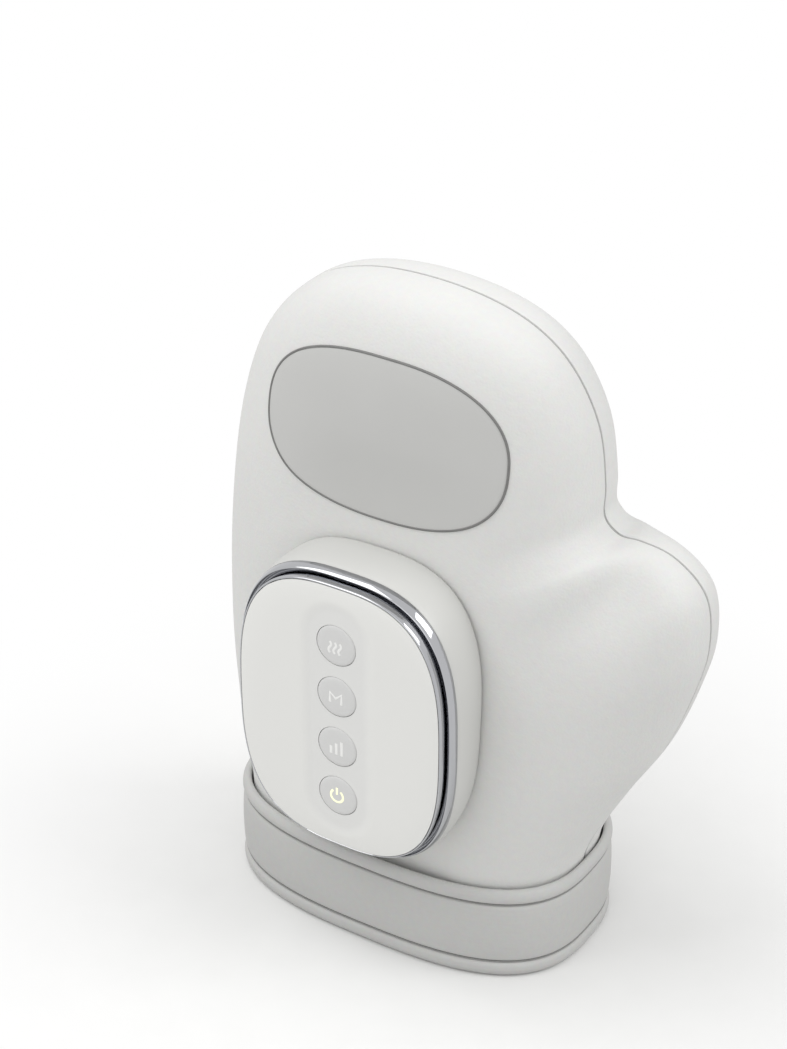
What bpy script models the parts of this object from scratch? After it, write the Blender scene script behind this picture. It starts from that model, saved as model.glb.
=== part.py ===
"""Cordless hand massager: a padded mitten that stands on its cuff, with a controller on its front.

Metres, +Z up. The front faces -Y and the thumb points to +X. The mitten is two halves that meet at a
seam in its mid plane. Every layer of it, from cover to lining, is the same pillow surface drawn in by
that layer's depth below the outside.
"""

import math

import bmesh
import bpy
from mathutils import Matrix, Vector
from mathutils.bvhtree import BVHTree
from mathutils.geometry import interpolate_bezier

# Mitten
WEB_HEIGHT = 0.1674
FINGER_LENGTH = 0.0726
FOOT_HALF_WIDTH = 0.065
PALM_HALF_WIDTH = 0.0736
FINGER_HALF_WIDTH = 0.066
THUMB_REACH = 0.1055
FOOT_HALF_DEPTH = 0.0388
FINGER_HALF_DEPTH = 0.0283
THUMB_THINNING_SHARE = 0.10
SECTION_POWER = 2.78
VALLEY_DEPTH = 0.004
VALLEY_HALF_WIDTH = 0.013
VALLEY_LENGTH = 0.034
SEAM_GAP = 0.0003
FIT_GAP = 0.0003

# Layers of the mitten, as depths below its outside
COVER_THICKNESS = 0.003
PLATE_THICKNESS = 0.002
BAG_GAP = 0.0006
BAG_THICKNESS = 0.0025
FILM_GAP = 0.0005
FILM_THICKNESS = 0.0005
LINING_THICKNESS = 0.0015

# Cuff
CUFF_HEIGHT = 0.0365
CUFF_THICKNESS = 0.0026
CUFF_BULGE = 0.0006
TOP_ROLL_HEIGHT = 0.0055
BOTTOM_ROLL_HEIGHT = 0.0060
MOUTH_FLOOR_THICKNESS = 0.0015

# Oval panel in the front of the fingers; it fills the height between the controller and the tip's margin
PANEL_FOOT_GAP = 0.0087
PANEL_TIP_MARGIN = 0.0193
PANEL_OFFSET = -0.0015
PANEL_HALF_WIDTH = 0.0455
PANEL_POWER = 2.37
PANEL_THICKNESS = 0.0010

# Controller: a wedge whose base leans with the cover and whose face stands upright. It starts a rise
# above the cuff, and its depths run from the cover (0) towards the user (minus).
CONTROLLER_RISE = 0.0111
CONTROLLER_HALF_WIDTH = 0.0418
CONTROLLER_HALF_HEIGHT = 0.0540
CONTROLLER_POWER = 2.85
CONTROLLER_THICKNESS = 0.0248
SEAT_SHARE = 0.93
SHELL_WALL = 0.0020
SHELL_BACK_ROUND = 0.0025
SHELL_BELLY = 0.0005
BASE_THICKNESS = 0.0020
BEZEL_WIDTH = 0.0030
BEZEL_DEPTH = 0.0065
BEZEL_POWER = 1.4
BEZEL_WALL = 0.0012
BEZEL_LIP = 0.0010
FACE_THICKNESS = 0.0026
FACE_CROWN = 0.0010
PILL_HALF_WIDTH = 0.0125
PILL_END_MARGIN = 0.0092
PILL_DEPTH = 0.0005

# Buttons, power at the bottom
BUTTON_COUNT = 4
BUTTON_PITCHES_IN_PILL = 4.5
BUTTON_SPACING = 0.0049
BUTTON_COLUMN_DROP = 0.0004
BUTTON_PROUD = 0.0004
BUTTON_FLANGE_LIP = 0.0011
BUTTON_FLANGE_THICKNESS = 0.0008
BUTTON_STEM_DIAMETER = 0.0050
BUTTON_STEM_LENGTH = 0.0029
BUTTON_TRAVEL = 0.0006
BUTTON_SLOP = 0.0001
BUTTON_EDGE = 0.0006

# Circuit board and what it carries
BOARD_HALF_WIDTH = 0.0125
BOARD_END_MARGIN = 0.0065
BOARD_THICKNESS = 0.0016
BOARD_CORNER = 0.0030
MAT_HALF_WIDTH = 0.0080
MAT_END_MARGIN = 0.0052
MAT_THICKNESS = 0.0010
DOME_DIAMETER = 0.0080
DOME_HEIGHT = 0.0017
DOME_TOP_SHARE = 0.65
BUZZER_DIAMETER = 0.0090
BUZZER_THICKNESS = 0.0040
BUZZER_PLACE = (0.0055, -0.0120)
PLUG_SIZE = (0.0060, 0.0045, 0.0050)
PLUG_PLACE = (0.0070, -0.0240)
PORT_WIDTH = 0.0090
PORT_DEPTH = 0.0032
PORT_LENGTH = 0.0080
PORT_WALL = 0.0005
BOSS_DIAMETER = 0.0050
BOARD_BOSS_INSETS = (0.0030, 0.0060)
SHELL_BOSS_INSET = 0.0066
SHELL_RIB_INSET = 0.0033
SHELL_BOSS_TURN = math.radians(44.3)
MOUNT_BOSS_SPACING = 0.0100
SHELL_BOSS_LENGTH = 0.0090
MOUNT_BOSS_LENGTH = 0.0050
SCREW_DIAMETER = 0.0020
SCREW_HEAD_DIAMETER = 0.0036
SCREW_HEAD_THICKNESS = 0.0012
SCREW_BITE = 0.0040
SCREW_CLEARANCE = 0.0003
SCREW_SIDES = 10

# Battery cell and its holder
CELL_DIAMETER = 0.0142
CELL_LENGTH = 0.0500
CELL_CAP_DIAMETER = 0.0060
CELL_CAP_HEIGHT = 0.0010
CELL_OFFSET = 0.0243
CELL_DEPTH = 0.0109
HOLDER_WIDTH = 0.0150
HOLDER_LENGTH = 0.0360
HOLDER_DEPTH = 0.0040

# Air pump, standing in the controller's left side
PUMP_OFFSET = 0.0260
PUMP_DEPTH = 0.0120
PUMP_FOOT = -0.0310
MOTOR_DIAMETER = 0.0156
MOTOR_LENGTH = 0.0200
SHAFT_DIAMETER = 0.0020
SHAFT_CLEARANCE = 0.0001
SHAFT_SINK = 0.0060
PUMP_DIAMETER = 0.0160
PUMP_WALL = 0.0014
ECCENTRIC_DIAMETER = 0.0090
ECCENTRIC_THICKNESS = 0.0040
CRANK_OFFSET = 0.0026
CRANK_DIAMETER = 0.0016
CRANK_LENGTH = 0.0036
WOBBLE_DIAMETER = 0.0124
WOBBLE_THICKNESS = 0.0016
CUP_DIAMETER = 0.0036
CUP_CIRCLE_RADIUS = 0.0042
CUP_HEIGHT = 0.0015
CUP_COUNT = 3
DIAPHRAGM_THICKNESS = 0.0012
VALVE_PLATE_THICKNESS = 0.0017
VALVE_HOLE_DIAMETER = 0.0016
PUMP_CAP_THICKNESS = 0.0030
NOZZLE_DIAMETER = 0.0036
NOZZLE_LENGTH = 0.0035
NOZZLE_BORE = 0.0018
CRADLE_WIDTH = 0.0130
CRADLE_LENGTH = 0.0120
CRADLE_DEPTH = 0.0045

# Release valves, manifold and air tubes
VALVE_DIAMETER = 0.0080
VALVE_LENGTH = 0.0104
VALVE_BORE = 0.0036
VALVE_FLOOR = 0.0014
VALVE_HEIGHTS = (0.0205, 0.0290)
PLUNGER_DIAMETER = 0.0029
PLUNGER_HEAD_DIAMETER = 0.0060
PLUNGER_HEAD_THICKNESS = 0.0012
PLUNGER_TRAVEL = 0.0012
MANIFOLD_LEFT = 0.0100
MANIFOLD_RIGHT = 0.0080
MANIFOLD_FOOT = 0.0140
MANIFOLD_TOP = 0.0340
MANIFOLD_DEPTH = 0.0080
TUBE_DIAMETER = 0.0030
LEAD_DIAMETER = 0.0022
OUTLET_HEIGHT = 0.0240
BACK_TUBE_OFFSET = 0.0055
BACK_TUBE_DROP = 0.0370
WALL_ROUTE_HEIGHT = 0.0480
TUBE_WALL_DEPTH = 0.0075
LEAD_WALL_DEPTH = 0.0075
LEAD_END_HEIGHT = 0.0780
PASSAGE_GAP = 0.0007
THERMOSTAT_SIZE = (0.0100, 0.0025, 0.0050)
THERMOSTAT_OFFSET = 0.0160
THERMOSTAT_DROP = 0.0066
PUMP_TUBE_RISE = 0.0035
PUMP_TUBE_RUN = 0.0070

# Edge of the mitten from the foot up, each row a share across and a share up
FOOT_EDGE_SHARES = ((1.0, 0.0), (1.0, 0.55), (1.0, 1.03))
PALM_RISE_SHARES = ((0.44, 0.334), (0.76, 0.454), (0.95, 0.573), (1.0, 0.693))
PALM_FALL_SHARES = ((0.95, 0.812), (0.76, 0.926), (0.50, 1.0275))
LEFT_FINGER_SHARES = ((1.015, 0.27), (0.955, 0.463), (0.871, 0.628), (0.742, 0.780), (0.561, 0.904),
                      (0.303, 0.979), (0.0, 1.0))
THUMB_RISE_SHARES = ((0.32, 0.394), (0.68, 0.55), (0.90, 0.70), (1.0, 0.812))
THUMB_FALL_SHARES = ((0.937, 0.926), (0.633, 0.987), (0.329, 1.0), (0.142, 1.0))
RIGHT_FINGER_SHARES = ((1.004, 0.063), (1.0, 0.215), (0.945, 0.518), (0.765, 0.782), (0.5, 0.931),
                       (0.0, 1.0))
FACE_SHARES = ((0.40, 0.02), (0.22, 0.12), (0.10, 0.32), (0.035, 0.62), (0.0, 1.0))
SPINE_TOP_SHARE = 0.742
SPINE_POWER = 1.35
TAPER_SHARES = (0.08, 0.83)
THUMB_BLEND_SHARES = (0.43, 0.95)
SEAT_FADE_SHARES = (1.28, 1.8)
VALLEY_TURN = math.radians(-120)
BAG_FOOT_SPANS = 6
BAG_RIM_ROWS = 1

# Fineness
COVER_STEPS = 2
COVER_ROWS = 6
LAYER_STEPS = 1
LAYER_ROWS = 4
RING_SIDES = 36
ROUND_SIDES = 20
FINE_SIDES = 16
CUT_OVERRUN = 0.001
WELD = 1e-6

BODY_HEIGHT = WEB_HEIGHT + FINGER_LENGTH
CONTROLLER_HEIGHT = CUFF_HEIGHT + CONTROLLER_RISE + CONTROLLER_HALF_HEIGHT
PANEL_FOOT = CONTROLLER_HEIGHT + CONTROLLER_HALF_HEIGHT + PANEL_FOOT_GAP
PANEL_HALF_HEIGHT = (BODY_HEIGHT - PANEL_TIP_MARGIN - PANEL_FOOT) / 2
PANEL_HEIGHT = PANEL_FOOT + PANEL_HALF_HEIGHT
PILL_HALF_HEIGHT = CONTROLLER_HALF_HEIGHT - PILL_END_MARGIN
BUTTON_PITCH = 2 * PILL_HALF_HEIGHT / BUTTON_PITCHES_IN_PILL
BUTTON_DIAMETER = BUTTON_PITCH - BUTTON_SPACING
BUTTON_FLANGE_DIAMETER = BUTTON_DIAMETER + 2 * BUTTON_FLANGE_LIP
BOARD_HALF_HEIGHT = CONTROLLER_HALF_HEIGHT - BOARD_END_MARGIN
BOARD_BOSS_PLACE = (BOARD_HALF_WIDTH - BOARD_BOSS_INSETS[0], BOARD_HALF_HEIGHT - BOARD_BOSS_INSETS[1])
BOARD_SPOTS = ((-BOARD_BOSS_PLACE[0], BOARD_BOSS_PLACE[1]), (BOARD_BOSS_PLACE[0], -BOARD_BOSS_PLACE[1]))
BUTTON_STEPS = [(BUTTON_COUNT - 1) / 2 - step for step in range(BUTTON_COUNT)]
MAT_HALF_HEIGHT = BUTTON_STEPS[0] * BUTTON_PITCH + MAT_END_MARGIN
BAG_DEPTH = COVER_THICKNESS + PLATE_THICKNESS + FIT_GAP + BAG_GAP
FILM_DEPTH = BAG_DEPTH + BAG_THICKNESS + FILM_GAP
LINING_DEPTH = FILM_DEPTH + FILM_THICKNESS + FILM_GAP
WALL_DEPTH = LINING_DEPTH + LINING_THICKNESS
MITTEN_FOOT = MOUTH_FLOOR_THICKNESS + FIT_GAP


def clear_scene():
    """Empties the scene that Blender starts with."""
    for item in list(bpy.data.objects):
        bpy.data.objects.remove(item, do_unlink=True)


clear_scene()
PARTS = bpy.data.collections.new("hand_massager")
CUTTERS = bpy.data.collections.new("cutters")
bpy.context.scene.collection.children.link(PARTS)
bpy.context.scene.collection.children.link(CUTTERS)


def material(name, color, roughness, metallic=0.0):
    """One Principled material."""
    made = bpy.data.materials.new(name)
    made.use_nodes = True
    shader = made.node_tree.nodes["Principled BSDF"]
    shader.inputs["Base Color"].default_value = (*color, 1.0)
    shader.inputs["Roughness"].default_value = roughness
    shader.inputs["Metallic"].default_value = metallic
    made.diffuse_color = (*color, 1.0)
    return made


def place(name, mesh, color, roughness, parent, metallic=0.0, location=(0, 0, 0), rotation=(0, 0, 0)):
    """Makes one sub-part of a mesh or curve, with a material of its own."""
    item = bpy.data.objects.new(name, mesh)
    PARTS.objects.link(item)
    mesh.materials.append(material(name, color, roughness, metallic))
    item.parent = parent
    item.location = location
    item.rotation_euler = rotation
    return item


def frame(name, location, parent=None, rotation=(0, 0, 0)):
    """An empty that carries pieces."""
    empty = bpy.data.objects.new(name, None)
    PARTS.objects.link(empty)
    empty.parent = parent
    empty.location = location
    empty.rotation_euler = rotation
    return empty


def cutter(name, mesh, parent, location=(0, 0, 0), rotation=(0, 0, 0)):
    """A helper solid that is cut away from pieces and isn't one itself."""
    item = bpy.data.objects.new(name, mesh)
    CUTTERS.objects.link(item)
    item.hide_render = True
    item.display_type = "WIRE"
    item.parent = parent
    item.location = location
    item.rotation_euler = rotation
    return item


def boolean(item, other, operation="DIFFERENCE"):
    """Cuts or joins with the exact solver."""
    step = item.modifiers.new(other.name, "BOOLEAN")
    step.operation = operation
    step.object = other


def finish(bm, name, smooth_angle=None):
    """Turns a bmesh into a mesh, with its faces pointing out."""
    bmesh.ops.recalc_face_normals(bm, faces=bm.faces[:])
    mesh = bpy.data.meshes.new(name)
    bm.to_mesh(mesh)
    bm.free()
    if smooth_angle is not None:
        mesh.shade_smooth()
        mesh.set_sharp_from_angle(angle=smooth_angle)
    return mesh


ROUND_ANGLE = math.radians(40)


def block_mesh(name, sizes, centre=(0, 0, 0), edge=0.0):
    """A box with its edges rounded by one small chamfer."""
    bm = bmesh.new()
    spread = Matrix.Translation(centre) @ Matrix.Diagonal((*sizes, 1.0))
    bmesh.ops.create_cube(bm, size=1.0, matrix=spread)
    if edge:
        bmesh.ops.bevel(bm, geom=bm.edges[:], offset=edge, segments=1, affect="EDGES", profile=0.5,
                        material=-1)
    return finish(bm, name)


TURNS = {
    "x": Matrix.Rotation(math.pi / 2, 4, "Y"),
    "y": Matrix.Rotation(-math.pi / 2, 4, "X"),
    "z": Matrix.Identity(4),
}


def add_rod(bm, radius, low, high, axis="z", across=(0, 0), sides=ROUND_SIDES, tip=None):
    """A cylinder from low to high along an axis; across gives its place on the other two axes."""
    middle = (low + high) / 2
    first, second = across
    centres = {"x": (middle, first, second), "y": (first, middle, second), "z": (first, second, middle)}
    turned = Matrix.Translation(centres[axis]) @ TURNS[axis]
    bmesh.ops.create_cone(bm, cap_ends=True, segments=sides, radius1=radius,
                          radius2=radius if tip is None else tip, depth=high - low, matrix=turned)


def rods_mesh(name, rods, sides=ROUND_SIDES):
    """Separate cylinders in one mesh, each given as radius, low, high, axis and place across."""
    bm = bmesh.new()
    for radius, low, high, axis, across in rods:
        add_rod(bm, radius, low, high, axis, across, sides)
    return finish(bm, name, ROUND_ANGLE)


def turned_mesh(name, profile, sides=ROUND_SIDES):
    """A turned shape about Z: its profile of radius and height runs down the outer side."""
    bm = bmesh.new()
    points = [bm.verts.new((radius, 0, height)) for radius, height in profile]
    closed = all(radius > WELD for radius, height in profile)
    for first, second in zip(points, points[1:] + points[:1] if closed else points[1:]):
        bm.edges.new((first, second))
    mesh = bpy.data.meshes.new(name)
    bm.to_mesh(mesh)
    bm.free()
    item = bpy.data.objects.new(name, mesh)
    PARTS.objects.link(item)
    screw = item.modifiers.new("turn", "SCREW")
    screw.steps = sides
    screw.render_steps = sides
    screw.use_merge_vertices = True
    screw.merge_threshold = WELD
    screw.use_smooth_shade = False
    turned = bpy.data.meshes.new_from_object(item.evaluated_get(bpy.context.evaluated_depsgraph_get()))
    bpy.data.objects.remove(item)
    turned.shade_smooth()
    turned.set_sharp_from_angle(angle=ROUND_ANGLE)
    return turned


def oval_point(half_width, half_height, power, turn):
    """A point of a superellipse."""
    across = math.cos(turn)
    up = math.sin(turn)
    return (
        math.copysign(half_width * abs(across) ** (2 / power), across),
        math.copysign(half_height * abs(up) ** (2 / power), up),
    )


def oval_loft(name, profile, oval, sides=RING_SIDES, upright=True, slopes=None):
    """A ring or a disc round a superellipse, given by its half width, half height and power.

    The profile gives how far each row is drawn in from the edge, and its depth. A row drawn in by None is
    the middle point. A profile with no middle closes on itself. Upright rings run in X and Z, flat ones in
    X and Y. Slopes give how fast each row's depth changes with height.
    """
    half_width, half_height, power = oval
    closed = profile[0][0] is not None
    rows = len(profile)
    bm = bmesh.new()
    bmesh.ops.create_grid(bm, x_segments=sides, y_segments=rows if closed else rows - 1, size=1.0)
    for vert in bm.verts:
        column = round((vert.co.x + 1) / 2 * sides)
        row = round((vert.co.y + 1) / 2 * (rows if closed else rows - 1)) % rows
        drawn_in, depth = profile[row]
        turn = math.tau * (column % sides) / sides
        if drawn_in is None:
            across = up = 0.0
        else:
            across, up = oval_point(half_width - drawn_in, half_height - drawn_in, power, turn)
        if slopes:
            depth += up * slopes[row]
        vert.co = (across, depth, up) if upright else (across, up, depth)
    bmesh.ops.remove_doubles(bm, verts=bm.verts[:], dist=WELD)
    return finish(bm, name, ROUND_ANGLE)


def outline_curve(name, outlines, thickness):
    """A flat plate in X and Z from closed outlines; the inner ones are its holes."""
    curve = bpy.data.curves.new(name, "CURVE")
    curve.dimensions = "2D"
    curve.fill_mode = "BOTH"
    curve.extrude = thickness / 2
    for outline in outlines:
        spline = curve.splines.new("POLY")
        spline.points.add(len(outline) - 1)
        for point, (across, up) in zip(spline.points, outline):
            point.co = (across, up, 0, 1)
        spline.use_cyclic_u = True
    return curve


def circle(radius, centre=(0, 0), sides=FINE_SIDES):
    """A round outline."""
    turns = (math.tau * step / sides for step in range(sides))
    return [(centre[0] + radius * math.cos(turn), centre[1] + radius * math.sin(turn)) for turn in turns]


def rounded_rectangle(half_width, half_height, radius, steps=3):
    """A rectangle outline with round corners."""
    points = []
    for corner, (right, top) in enumerate(((1, 1), (-1, 1), (-1, -1), (1, -1))):
        for step in range(steps + 1):
            turn = math.pi / 2 * (corner + step / steps)
            points.append((right * (half_width - radius) + radius * math.cos(turn),
                           top * (half_height - radius) + radius * math.sin(turn)))
    return points


def corners(place_across_up):
    """The four places that a place has, mirrored across and up."""
    across, up = place_across_up
    return [(right * across, top * up) for right in (-1, 1) for top in (-1, 1)]


def smooth_line(points, steps):
    """A smooth line through points, upright at its first and level at its last."""
    gaps = [math.sqrt(math.dist(a, b)) for a, b in zip(points, points[1:])]
    slopes = [(0.0, (points[1][1] - points[0][1]) / gaps[0])]
    for before, point, after, left, right in zip(points, points[1:], points[2:], gaps, gaps[1:]):
        slopes.append(tuple(((p - b) / left * right + (a - p) / right * left) / (left + right)
                            for b, p, a in zip(before, point, after)))
    slopes.append(((points[-1][0] - points[-2][0]) / gaps[-1], 0.0))
    line = []
    for start, end, leave, arrive, gap in zip(points, points[1:], slopes, slopes[1:], gaps):
        for step in range(steps):
            t = step / steps
            weights = (2 * t**3 - 3 * t**2 + 1, t**3 - 2 * t**2 + t, 3 * t**2 - 2 * t**3, t**3 - t**2)
            line.append(tuple(weights[0] * s + weights[1] * gap * u + weights[2] * e + weights[3] * gap * v
                              for s, u, e, v in zip(start, leave, end, arrive)))
    line.append(tuple(points[-1]))
    return line


def between(low, high, share):
    """The value a share of the way from low to high."""
    return low + (high - low) * share


def edge_points(right):
    """The mitten's edge in its mid plane, from foot to tip, as reach and height."""
    points = [(FOOT_HALF_WIDTH * across, CUFF_HEIGHT * up) for across, up in FOOT_EDGE_SHARES]
    points[0] = (FOOT_HALF_WIDTH, MITTEN_FOOT)
    reach = THUMB_REACH if right else PALM_HALF_WIDTH
    rise, fall, fingers = PALM_RISE_SHARES, PALM_FALL_SHARES, LEFT_FINGER_SHARES
    if right:
        rise, fall, fingers = THUMB_RISE_SHARES, THUMB_FALL_SHARES, RIGHT_FINGER_SHARES
    points += [(between(FOOT_HALF_WIDTH, reach, across), WEB_HEIGHT * up) for across, up in rise]
    points += [(between(FINGER_HALF_WIDTH, reach, across), WEB_HEIGHT * up) for across, up in fall]
    points += [(FINGER_HALF_WIDTH * across, WEB_HEIGHT + FINGER_LENGTH * up) for across, up in fingers]
    return points


def drawn_in_edge(right, depth, steps):
    """The mitten's edge moved inwards by a depth."""
    line = smooth_line(edge_points(right), steps)
    moved = []
    for number, (reach, height) in enumerate(line):
        before = line[max(number - 1, 0)]
        after = line[min(number + 1, len(line) - 1)]
        along = Vector((after[0] - before[0], after[1] - before[1]))
        if number == 0:
            along = Vector((0, 1))
        if number == len(line) - 1:
            along = Vector((-1, 0))
        along.normalize()
        moved.append((reach - along.y * depth, height + along.x * depth))
    return moved


def ramp(value, start, end):
    """A smooth step from 0 at start to 1 at end."""
    share = min(max((value - start) / (end - start), 0.0), 1.0)
    return share * share * (3 - 2 * share)


def body_half_depth(height):
    """Half the mitten's thickness at a height, before its edge rounds off."""
    start, end = (BODY_HEIGHT * share for share in TAPER_SHARES)
    share = min(max((height - start) / (end - start), 0.0), 1.0)
    return between(FOOT_HALF_DEPTH, FINGER_HALF_DEPTH, share)


LEAN = math.atan((FOOT_HALF_DEPTH - FINGER_HALF_DEPTH) / (BODY_HEIGHT * (TAPER_SHARES[1] - TAPER_SHARES[0])))
SEAT_DEPTH = body_half_depth(CONTROLLER_HEIGHT) * SEAT_SHARE


def valley(across, height):
    """How far the surface dips between the palm and the thumb, from the web down."""
    along = Vector((math.cos(VALLEY_TURN), math.sin(VALLEY_TURN)))
    offset = Vector((across - FINGER_HALF_WIDTH, height - WEB_HEIGHT))
    down = offset.dot(along)
    aside = offset.cross(along)
    past = max(down - VALLEY_HALF_WIDTH, 0.0) / VALLEY_LENGTH
    above = min(down, 0.0) / VALLEY_HALF_WIDTH
    return VALLEY_DEPTH * math.exp(-(aside / VALLEY_HALF_WIDTH) ** 2 - past**2 - above**2)


def surface_depth(across, height, fullness, depth, front):
    """How far a layer's surface stands from the mid plane."""
    thumb = ramp(across, *(THUMB_REACH * share for share in THUMB_BLEND_SHARES))
    full = body_half_depth(height) * (1 - THUMB_THINNING_SHARE * thumb) - valley(across, height)
    stand = (full - depth) * fullness
    if front:
        seat = SEAT_DEPTH - (height - CONTROLLER_HEIGHT) * math.tan(LEAN) - depth
        aside = abs(across / CONTROLLER_HALF_WIDTH) ** CONTROLLER_POWER
        above = abs((height - CONTROLLER_HEIGHT) / CONTROLLER_HALF_HEIGHT) ** CONTROLLER_POWER
        away = (aside + above) ** (1 / CONTROLLER_POWER)
        pressed = 1 - ramp(away, *SEAT_FADE_SHARES)
        stand -= max(stand - seat, 0.0) * pressed
    return stand


def pillow(bm, depth, front, steps, rows, foot_spans=0, rim_rows=0):
    """One open surface of the mitten, drawn in by a depth, from its edge in to a spine up its middle.

    It leaves out its first spans from the foot and its first rows from the edge.
    """
    edges = [drawn_in_edge(right, depth, steps) for right in (False, True)]
    spans = len(edges[0]) - 1
    first = foot_spans * steps
    columns = 2 * (spans - first)
    side = -1 if front else 1
    made = bmesh.ops.create_grid(bm, x_segments=columns, y_segments=rows - rim_rows, size=1.0)["verts"]
    for vert in made:
        column = round((vert.co.x + 1) / 2 * columns)
        row = rim_rows + round((vert.co.y + 1) / 2 * (rows - rim_rows))
        right = column > columns / 2
        number = first + (columns - column if right else column)
        reach, height = edges[right][number]
        spine = between(MITTEN_FOOT, BODY_HEIGHT * SPINE_TOP_SHARE, 1 - (1 - number / spans) ** SPINE_POWER)
        turn = math.pi / 2 * row / rows
        inward = 1 - math.cos(turn) ** (2 / SECTION_POWER) if row < rows else 1.0
        fullness = math.sin(turn) ** (2 / SECTION_POWER)
        across = between(reach, 0.0, inward) * (1 if right else -1)
        up = between(height, spine, inward)
        stand = surface_depth(across, up, fullness, depth, front)
        vert.co = (across, side * (SEAM_GAP / 2 + stand), up)
    made_faces = list({face for vert in made for face in vert.link_faces})
    bmesh.ops.triangulate(bm, faces=made_faces, quad_method="FIXED")
    return made


def layer_mesh(name, outside, thickness, front, steps, rows, foot_spans, rim_rows):
    """One closed layer of the mitten between two depths."""
    bm = bmesh.new()
    pillow(bm, outside, front, steps, rows, foot_spans, rim_rows)
    inner = pillow(bm, outside + thickness, front, steps, rows, foot_spans, rim_rows)
    bmesh.ops.reverse_faces(bm, faces=list({face for vert in inner for face in vert.link_faces}))
    bmesh.ops.remove_doubles(bm, verts=bm.verts[:], dist=WELD)
    rims = [edge for edge in bm.edges if edge.is_boundary]
    bmesh.ops.bridge_loops(bm, edges=rims)
    return finish(bm, name, ROUND_ANGLE)


# The whole object stands on the middle of its own box
BACK_REACH = FOOT_HALF_DEPTH + SEAM_GAP / 2 + FIT_GAP + CUFF_THICKNESS + CUFF_BULGE
FRONT_REACH = SEAT_DEPTH + SEAM_GAP / 2 + CONTROLLER_THICKNESS
STAND = frame("stand", ((PALM_HALF_WIDTH - THUMB_REACH) / 2, (FRONT_REACH - BACK_REACH) / 2, 0))
SEAT_PLACE = (0, -SEAT_DEPTH - SEAM_GAP / 2, CONTROLLER_HEIGHT)
SEAT = frame("seat_frame", SEAT_PLACE, STAND, (-LEAN, 0, 0))
CONTROLLER = frame("controller_frame", SEAT_PLACE, STAND)


def plate_mesh(name, outlines, low, high, upright=True):
    """A flat plate with its holes, as a mesh between two depths, in X and Z or flat in X and Y."""
    curve = outline_curve(name, outlines, high - low)
    item = bpy.data.objects.new(name, curve)
    PARTS.objects.link(item)
    mesh = bpy.data.meshes.new_from_object(item.evaluated_get(bpy.context.evaluated_depsgraph_get()))
    bpy.data.objects.remove(item)
    turn = Matrix.Rotation(math.pi / 2, 4, "X") if upright else Matrix.Identity(4)
    middle = (low + high) / 2
    mesh.transform(Matrix.Translation((0, middle, 0) if upright else (0, 0, middle)) @ turn)
    bm = bmesh.new()
    bm.from_mesh(mesh)
    bmesh.ops.remove_doubles(bm, verts=bm.verts[:], dist=WELD)
    return finish(bm, name, ROUND_ANGLE)


def route_curve(name, points, diameter, steps=2):
    """A round tube along a smooth curve through points, straight at both ends."""
    leave = points[0].lerp(points[1], 0.5)
    arrive = points[-1].lerp(points[-2], 0.5)
    route = [points[0], leave, *points[1:-1], arrive, points[-1]]
    ends = [route[0] * 2 - route[1], *route, route[-1] * 2 - route[-2]]
    line = []
    for before, start, end, after in zip(ends, ends[1:], ends[2:], ends[3:]):
        straight = start == route[0] or end == route[-1]
        for step in range(1 if straight else steps):
            t = step / steps
            line.append(start + ((end - before) * t + (before * 2 - start * 5 + end * 4 - after) * t**2
                                 + (start * 3 - before - end * 3 + after) * t**3) / 2)
    line.append(route[-1])
    curve = bpy.data.curves.new(name, "CURVE")
    curve.dimensions = "3D"
    curve.bevel_depth = diameter / 2
    curve.bevel_resolution = 2
    curve.use_fill_caps = True
    spline = curve.splines.new("POLY")
    spline.points.add(len(line) - 1)
    for point, place_on_line in zip(spline.points, line):
        point.co = (*place_on_line, 1)
    return curve


# Mitten: each layer in two halves
LAYERS = (
    ("cover", 0.0, COVER_THICKNESS, (0.74, 0.74, 0.73), 0.75),
    ("air_bag", BAG_DEPTH, BAG_THICKNESS, (0.55, 0.60, 0.66), 0.35),
    ("heat_film", FILM_DEPTH, FILM_THICKNESS, (0.62, 0.30, 0.12), 0.45),
    ("lining", LINING_DEPTH, LINING_THICKNESS, (0.36, 0.36, 0.37), 0.9),
)
halves = {}
for side, front in (("front", True), ("back", False)):
    for kind, outside, thickness, color, roughness in LAYERS:
        title = f"{side}_{kind}"
        steps, rows = (COVER_STEPS, COVER_ROWS) if kind == "cover" else (LAYER_STEPS, LAYER_ROWS)
        foot_spans, rim_rows = (BAG_FOOT_SPANS, BAG_RIM_ROWS) if kind in ("air_bag", "heat_film") else (0, 0)
        mesh = layer_mesh(title, outside, thickness, front, steps, rows, foot_spans, rim_rows)
        halves[title] = place(title, mesh, color, roughness, STAND)

# Oval panel, let into the front cover so that it lies flush
SKIN = bmesh.new()
pillow(SKIN, 0.0, True, COVER_STEPS, COVER_ROWS)
SKIN_TREE = BVHTree.FromBMesh(SKIN)
SKIN.free()
PANEL_SIDES = 24
PANEL_RINGS_SHARES = (0.0, 0.45, 0.8, 1.0)


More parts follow.
